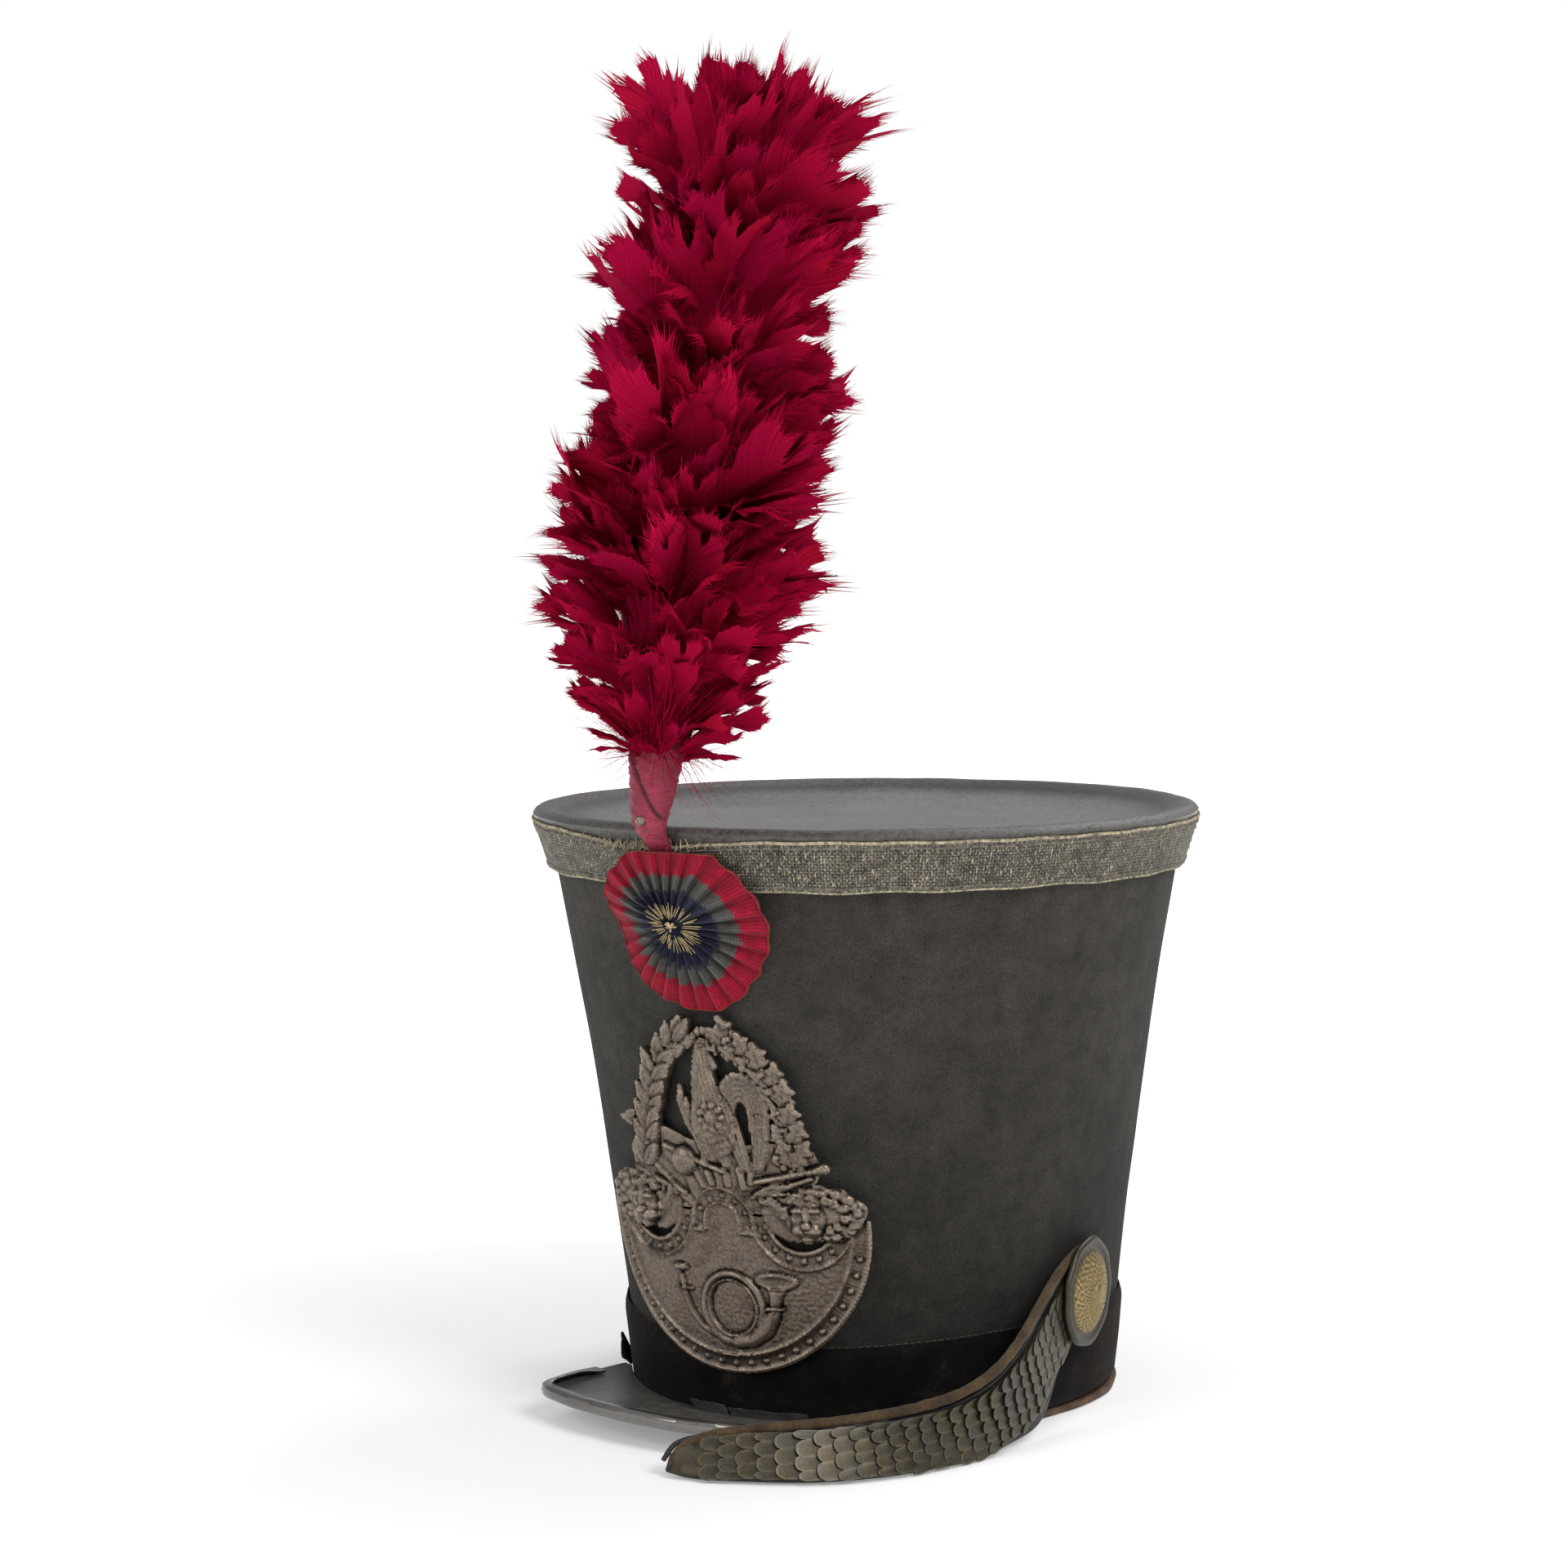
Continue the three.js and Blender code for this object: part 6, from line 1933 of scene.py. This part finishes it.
def scale_shape():
    """A rounded scale 9.2 mm long along Z and 4.6 mm wide that faces +Y, low, with a raised rim."""
    a, b = np.meshgrid(np.linspace(-1, 1, 7), [0, 0.4, 0.7, 0.88, 1.0])
    reach = 6.0 + 3.2 * np.sqrt(1 - 0.98 * a * a)
    edge = np.minimum((1 - np.abs(a)) * 2.3, (1 - b) * reach)
    rim = np.exp(-((edge - 0.1) / 0.5) ** 2)
    top = 0.4 + 0.4 * (1 - a * a) * np.sin(0.5 * math.pi * b) + 0.12 * rim
    front = np.stack([2.3 * a, top, b * reach], -1)
    border = np.concatenate([front[:, 0], front[-1, 1:], front[-2::-1, -1]])
    points = np.concatenate([front.reshape(-1, 3), border, border * [1, 0, 1]])
    faces = grid(a.shape)[0].tolist()
    faces += (grid((2, len(border)))[0] + a.size).tolist()
    # crest: painted shade towards the root, which lies under the overlap, lighter on the raised rim as rubbed
    # metal and as a painted highlight, and low on the sides and back
    bright = 0.42 + 0.16 * b + 0.4 * rim - 0.3 * (1 - smoothstep(b, 0.2, 0.55))
    crest = np.concatenate([bright.ravel(), np.full(2 * len(border), 0.28)])
    return mesh_from("scale", points, faces, values={"crest": np.clip(crest, 0, 1)}, sharp=50)


def scale_layout(strap, pitch, width):
    """Places, directions and stretches of the overlapping scales, row by row towards the tip."""
    rows = []
    rng = np.random.default_rng(21)
    tilt = math.radians(2.6)
    start = 24.0
    count = int((strap.length - start - 8) / pitch)
    for row in range(count):
        length = np.array(start + row * pitch)
        low, high = strap.edges(length)
        room = np.linalg.norm(high - low) * 0.75
        number = max(2, round(room / width))
        centres = [(k + 0.5) / number for k in range(number)]
        widths = [1.0] * number
        if row % 2:
            centres = [0.25 / number] + [k / number for k in range(1, number)] + [1 - 0.25 / number]
            widths = [0.55] + [1.0] * (number - 1) + [0.55]
        along, normal = strap.along(length), strap.normal(length)
        way = along * math.cos(tilt) + normal * math.sin(tilt)
        for centre, wide in zip(centres, widths):
            place = strap.at(length + rng.uniform(-0.5, 0.5), 0.03 + 0.75 * centre, 2.55)
            size = 1.08 * wide * rng.uniform(0.94, 1.14) * room / number / 4.6
            askew = way + rng.normal(0, 0.07) * np.cross(normal, way)
            long = np.interp(length, [24, 60, 110], [1.25, 1.1, 1.0])
            low_relief = np.interp(length, [24, 150, strap.length], [1.0, 0.9, 0.6])
            rows.append((place, askew, normal, [size, low_relief, long]))
    return rows


def boss_mesh(side):
    """The domed boss: a rolled rim, a rayed face and a small knob, with its crests and bare brass."""
    across, facing, along = frame_of(BOSS_WAY, [0, 0, 1])
    turn = full_turn(144)
    profile = smooth_curve([
        (18, 0), (19.3, 0.4), (19.6, 1.2), (19, 2.2), (17.6, 2.5), (16, 2.0), (15, 1.9), (13.4, 2.8),
        (11, 3.7), (8, 4.4), (5, 4.9), (4.0, 5.2), (3.4, 6.0), (2.2, 6.6), (0.5, 6.8),
    ], 46)
    loops, crest, bare = [], [], []
    for radius, height in profile:
        face = smoothstep(np.array(15.4 - radius), 0, 1) * smoothstep(np.array(radius - 3.9), 0, 1.2)
        rays = 0.4 * np.sin(31 * turn + 2.2 * np.sin(radius * 1.3 + 3 * turn))
        rays += 0.35 * np.sin(47 * turn + radius * 2.4)
        rays += 0.35 * np.sin(23 * turn - 3.1 * radius + 2 * np.sin(5 * turn))
        lobes = 0.3 * np.cos(9 * turn + 0.6 * np.sin(2 * turn)) * smoothstep(np.array(radius), 15, 19)
        lift = height + 0.36 * float(face) * rays
        ring = np.cos(turn)[:, None] * across + np.sin(turn)[:, None] * facing
        loops.append(BOSS_PLACE + (radius + lobes)[:, None] * ring + lift[:, None] * along)
        crest.append(0.55 + 0.4 * float(face) * rays)
        bare.append(np.full(144, float(smoothstep(np.array(15.2 - radius), 0, 1.5))))
    points, faces = lofted(side(np.array(loops)))
    values = {"crest": np.clip(np.ravel(crest), 0, 1), "bare": np.ravel(bare)}
    return mesh_from("boss", points, faces, values=values, sharp=60)


class SHAKO_OT_straps(bpy.types.Operator):
    """Makes the two chin straps: leather backing, padded roll, metal scales and boss"""

    bl_idname = "shako.straps"
    bl_label = "Chin straps"

    def execute(self, context):
        sizes, colours = context.scene.shako_sizes, context.scene.shako_colours
        strap = Strap()
        leather, pile = strap_leather_finish(), pile_finish(colours.roll)
        metal = scale_finish(colours.scale_silver, colours.scale_brass)
        cast = boss_finish(colours.scale_silver, colours.boss_brass)
        scales = scale_layout(strap, sizes.scale_pitch / MM, sizes.scale_width / MM)
        shape = scale_shape()
        for name, side in SIDES:
            backing = mesh_from("backing", *lofted(side(strap_backing_loops(strap))))
            piece(f"strap_leather_{name}", backing, leather, "black_leather", f"strap_backing_{name}")
            roll = mesh_from("roll", *lofted(side(strap_roll_loops(strap))))
            made = piece(f"padded_roll_{name}", roll, pile, "brown_pile", f"strap_roll_{name}")
            points, faces = lofted(side(scale_strip_loops(strap)))
            strip = mesh_from("strip", points, faces, values={"crest": np.full(len(points), 0.4)})
            piece(f"scale_strip_{name}", strip, metal, "scale_metal", f"chin_scales_{name}")
            turned = np.array([1, 1, 1]) if name == "left" else np.array([-1, -1, 1])
            places = side(np.array([row[0] for row in scales]))
            turns = [euler_of(*frame_of(row[1] * turned, row[2] * turned)) for row in scales]
            stretches = [row[3] for row in scales]
            mesh = scattered(places, turns, stretches, np.zeros(len(scales), int), [shape], metal)
            piece(f"scales_{name}", mesh, None, "scale_metal")
            piece(f"rayed_boss_{name}", boss_mesh(side), cast, "scale_metal", f"boss_{name}")
        return {"FINISHED"}


class SHAKO_OT_laces(bpy.types.Operator):
    """Makes the thin laces at the straps' tips, as free cords"""

    bl_idname = "shako.laces"
    bl_label = "Laces"

    def execute(self, context):
        waxed = lace_finish()
        for name, side in SIDES:
            route = side(smooth_curve(LACE_ROUTE, 40) + [0, AXIS_Y, 0]) * MM
            curve = bpy.data.curves.new(f"lace_{name}", "CURVE")
            curve.dimensions = "3D"
            curve.bevel_depth = 0.9 * MM
            curve.bevel_resolution = 3
            curve.use_fill_caps = True
            line = curve.splines.new("POLY")
            line.points.add(len(route) - 1)
            for point, place in zip(line.points, route):
                point.co = (*place, 1.0)
            curve.materials.append(waxed)
            lace = bpy.data.objects.new(f"lace_{name}", curve)
            context.scene.collection.objects.link(lace)
            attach(lace, "root")
            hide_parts(f"tie_lace_{name}")
        return {"FINISHED"}


# Stage


class SHAKO_OT_stage(bpy.types.Operator):
    """Sets up the pale floor, the soft lights and the camera"""

    bl_idname = "shako.stage"
    bl_label = "Stage"

    def execute(self, context):
        scene = context.scene
        settings = scene.shako_stage
        turn = full_turn(96)
        rings = [[(r * math.cos(t), r * math.sin(t), 0.0) for t in turn] for r in (200, 1500, 9000)]
        faces = grid((3, 96), close_columns=True)[0].tolist() + [list(range(96))]
        white = linear("#ffffff")
        paint = Finish("matt painted floor, white", 0.9, Specular_IOR_Level=0.1, Emission_Color=white)
        tone = paint.layered((None, (300, 2, 0.5), [(0.3, "#f4f4f5"), (0.7, "#f7f7f7")]))
        away = add(paint.tree, "ShaderNodeVectorMath", {"Vector": paint.place}, "Value", operation="LENGTH")
        glow = {"Value": away, "From Min": 0.2, "From Max": 1.6, "To Min": settings.floor_glow, "To Max": 1.0}
        lit = add(paint.tree, "ShaderNodeMapRange", glow)
        paint.tree.links.new(lit, paint.shader.inputs["Emission Strength"])
        mesh = mesh_from("floor", np.array(rings).reshape(-1, 3), faces)
        mesh.materials.append(paint.finished(tone))
        floor = bpy.data.objects.new("floor", mesh)
        scene.collection.objects.link(floor)
        for name, place, aim, energy, size in (
            ("key_light", (1.7, -0.7, 1.7), (0, 0, 0.2), settings.key_energy, 1.0),
            ("fill_light", (-0.9, -1.9, 1.2), (0, 0, 0.15), settings.fill_energy, 1.2),
            ("rim_light", (0.3, 1.6, 1.8), (0, 0, 0.25), settings.rim_energy, 1.0),
        ):
            data = bpy.data.lights.new(name, "AREA")
            data.energy, data.size = energy, size
            light = bpy.data.objects.new(name, data)
            light.location = place
            light.rotation_euler = (Vector(aim) - Vector(place)).to_track_quat("-Z", "Y").to_euler()
            scene.collection.objects.link(light)
        world = bpy.data.worlds.new("soft white studio")
        world.use_nodes = True
        tree = world.node_tree
        tree.nodes.clear()
        seen = add(tree, "ShaderNodeLightPath", output="Is Camera Ray")
        limits = {"Value": seen, "To Min": settings.world_strength, "To Max": 1.0}
        bright = add(tree, "ShaderNodeMapRange", limits)
        backdrop = add(tree, "ShaderNodeBackground", {"Color": white, "Strength": bright})
        add(tree, "ShaderNodeOutputWorld", {"Surface": backdrop})
        scene.world = world
        scene.view_settings.view_transform = "Standard"
        data = bpy.data.cameras.new("photo_camera")
        data.lens, data.sensor_width = PHOTO_LENS, PHOTO_SENSOR
        camera = bpy.data.objects.new("photo_camera", data)
        camera.location = CAMERA_PLACE
        camera.rotation_euler = Vector(CAMERA_FORWARD).to_track_quat("-Z", "Y").to_euler()
        scene.collection.objects.link(camera)
        scene.camera = camera
        return {"FINISHED"}


# Properties, panel and registration


class ShakoSizes(bpy.types.PropertyGroup):
    """Sizes of the hat's trimmings"""

    seam_stitch_pitch: bpy.props.FloatProperty(
        name="Seam stitch pitch", description="Distance between stitches of the velvet's seam",
        default=2.6 * MM, min=1 * MM, unit="LENGTH",
    )
    galloon_cord_radius: bpy.props.FloatProperty(
        name="Galloon cord radius", description="Radius of the bright cord along the galloon's top edge",
        default=0.6 * MM, min=0.1 * MM, unit="LENGTH",
    )
    plate_grid: bpy.props.FloatProperty(
        name="Plate grid", description="Distance between points of the plate's relief",
        default=0.45 * MM, min=0.3 * MM, unit="LENGTH",
    )
    plate_grain: bpy.props.FloatProperty(
        name="Plate grain", description="Distance between grains of the shield's punched field",
        default=1.5 * MM, min=0.5 * MM, unit="LENGTH",
    )
    plate_stud_pitch: bpy.props.FloatProperty(
        name="Plate stud pitch", description="Distance between studs of the shield's border",
        default=6.1 * MM, min=3 * MM, unit="LENGTH",
    )
    pleats: bpy.props.IntProperty(
        name="Pleats", description="Pleats of the cockade's ribbon", default=26, min=8,
    )
    pleat_depth: bpy.props.FloatProperty(
        name="Pleat depth", description="Half the height of the cockade's pleats",
        default=0.95 * MM, min=0.1 * MM, unit="LENGTH",
    )
    cockade_stitches: bpy.props.IntProperty(
        name="Cockade stitches", description="Long stitches round the cockade's middle", default=46, min=8,
    )
    whorls: bpy.props.IntProperty(
        name="Whorls", description="Rings of feathers up the plume", default=20, min=4,
    )
    feathers_per_whorl: bpy.props.IntProperty(
        name="Feathers per whorl", description="Feathers in each ring of the plume", default=16, min=6,
    )
    plume_seed: bpy.props.IntProperty(
        name="Plume seed", description="Seed of the plume's random layout", default=11,
    )
    scale_pitch: bpy.props.FloatProperty(
        name="Scale pitch", description="Distance between rows of chin scales",
        default=6.2 * MM, min=3 * MM, unit="LENGTH",
    )
    scale_width: bpy.props.FloatProperty(
        name="Scale width", description="Width of one chin scale",
        default=4.7 * MM, min=2 * MM, unit="LENGTH",
    )


class ShakoColours(bpy.types.PropertyGroup):
    """Colours of the hat's materials"""

    __annotations__ = {
        key: bpy.props.FloatVectorProperty(
            name=key.replace("_", " ").capitalize(), description=f"Colour of the {what}",
            default=linear(tone), min=0, max=1, size=4, subtype="COLOR",
        )
        for key, what, tone in (
            ("felt", "wall's felt", "#393632"),
            ("galloon", "galloon's tarnished silver", "#68635a"),
            ("galloon_core", "galloon's core threads where they are bare", "#bdb293"),
            ("plate", "front plate's silvering", "#857d73"),
            ("ribbon_red", "cockade's edge", "#920f2a"),
            ("ribbon_stripe", "cockade's stripe", "#504f4b"),
            ("ribbon_middle", "cockade's middle", "#24263a"),
            ("feather", "plume", "#a60a38"),
            ("feather_deep", "plume's deepest feathers", "#8d0630"),
            ("socket", "plume's socket", "#8d2740"),
            ("scale_silver", "chin scales' silvering", "#544f46"),
            ("scale_brass", "chin scales where the silver has worn off", "#5c533c"),
            ("boss_brass", "bosses' rayed face", "#857550"),
            ("roll", "straps' padded roll", "#51402b"),
        )
    }


class ShakoStage(bpy.types.PropertyGroup):
    """Light of the studio"""

    key_energy: bpy.props.FloatProperty(
        name="Key light", description="Power of the light on the wearer's left",
        default=26.0, min=0, unit="POWER",
    )
    fill_energy: bpy.props.FloatProperty(
        name="Fill light", description="Power of the large light in front", default=14.0, min=0, unit="POWER",
    )
    rim_energy: bpy.props.FloatProperty(
        name="Rim light", description="Power of the light behind", default=18.0, min=0, unit="POWER",
    )
    world_strength: bpy.props.FloatProperty(
        name="Studio white", description="Brightness of the studio's light all round", default=0.45, min=0,
    )
    floor_glow: bpy.props.FloatProperty(
        name="Floor glow", description="How much the floor is lit from below", default=0.22, min=0,
    )


OPERATORS = (
    SHAKO_OT_stage,
    SHAKO_OT_laces,
    SHAKO_OT_crown,
    SHAKO_OT_galloon,
    SHAKO_OT_peak,
    SHAKO_OT_plate,
    SHAKO_OT_cockade,
    SHAKO_OT_plume,
    SHAKO_OT_straps,
)


class SHAKO_PT_panel(bpy.types.Panel):
    """Lists the steps and the sizes of the shako"""

    bl_idname = "SHAKO_PT_panel"
    bl_label = "Shako"
    bl_space_type = "VIEW_3D"
    bl_region_type = "UI"
    bl_category = "Shako"

    def draw(self, context):
        for operator in OPERATORS:
            self.layout.operator(operator.bl_idname)
        scene = context.scene
        for group in (scene.shako_sizes, scene.shako_colours, scene.shako_stage):
            for name in group.bl_rna.properties.keys():
                if name not in ("rna_type", "name"):
                    self.layout.prop(group, name)


CLASSES = (ShakoSizes, ShakoColours, ShakoStage, *OPERATORS, SHAKO_PT_panel)


def register():
    for made in CLASSES:
        bpy.utils.register_class(made)
    bpy.types.Scene.shako_sizes = bpy.props.PointerProperty(type=ShakoSizes)
    bpy.types.Scene.shako_colours = bpy.props.PointerProperty(type=ShakoColours)
    bpy.types.Scene.shako_stage = bpy.props.PointerProperty(type=ShakoStage)


def unregister():
    del bpy.types.Scene.shako_stage
    del bpy.types.Scene.shako_colours
    del bpy.types.Scene.shako_sizes
    for made in reversed(CLASSES):
        bpy.utils.unregister_class(made)


def main():
    register()
    bpy.ops.shako.stage()
    bpy.ops.shako.laces()
    bpy.ops.shako.crown()
    bpy.ops.shako.galloon()
    bpy.ops.shako.peak()
    bpy.ops.shako.plate()
    bpy.ops.shako.cockade()
    bpy.ops.shako.plume()
    bpy.ops.shako.straps()


if __name__ == "__main__":
    main()
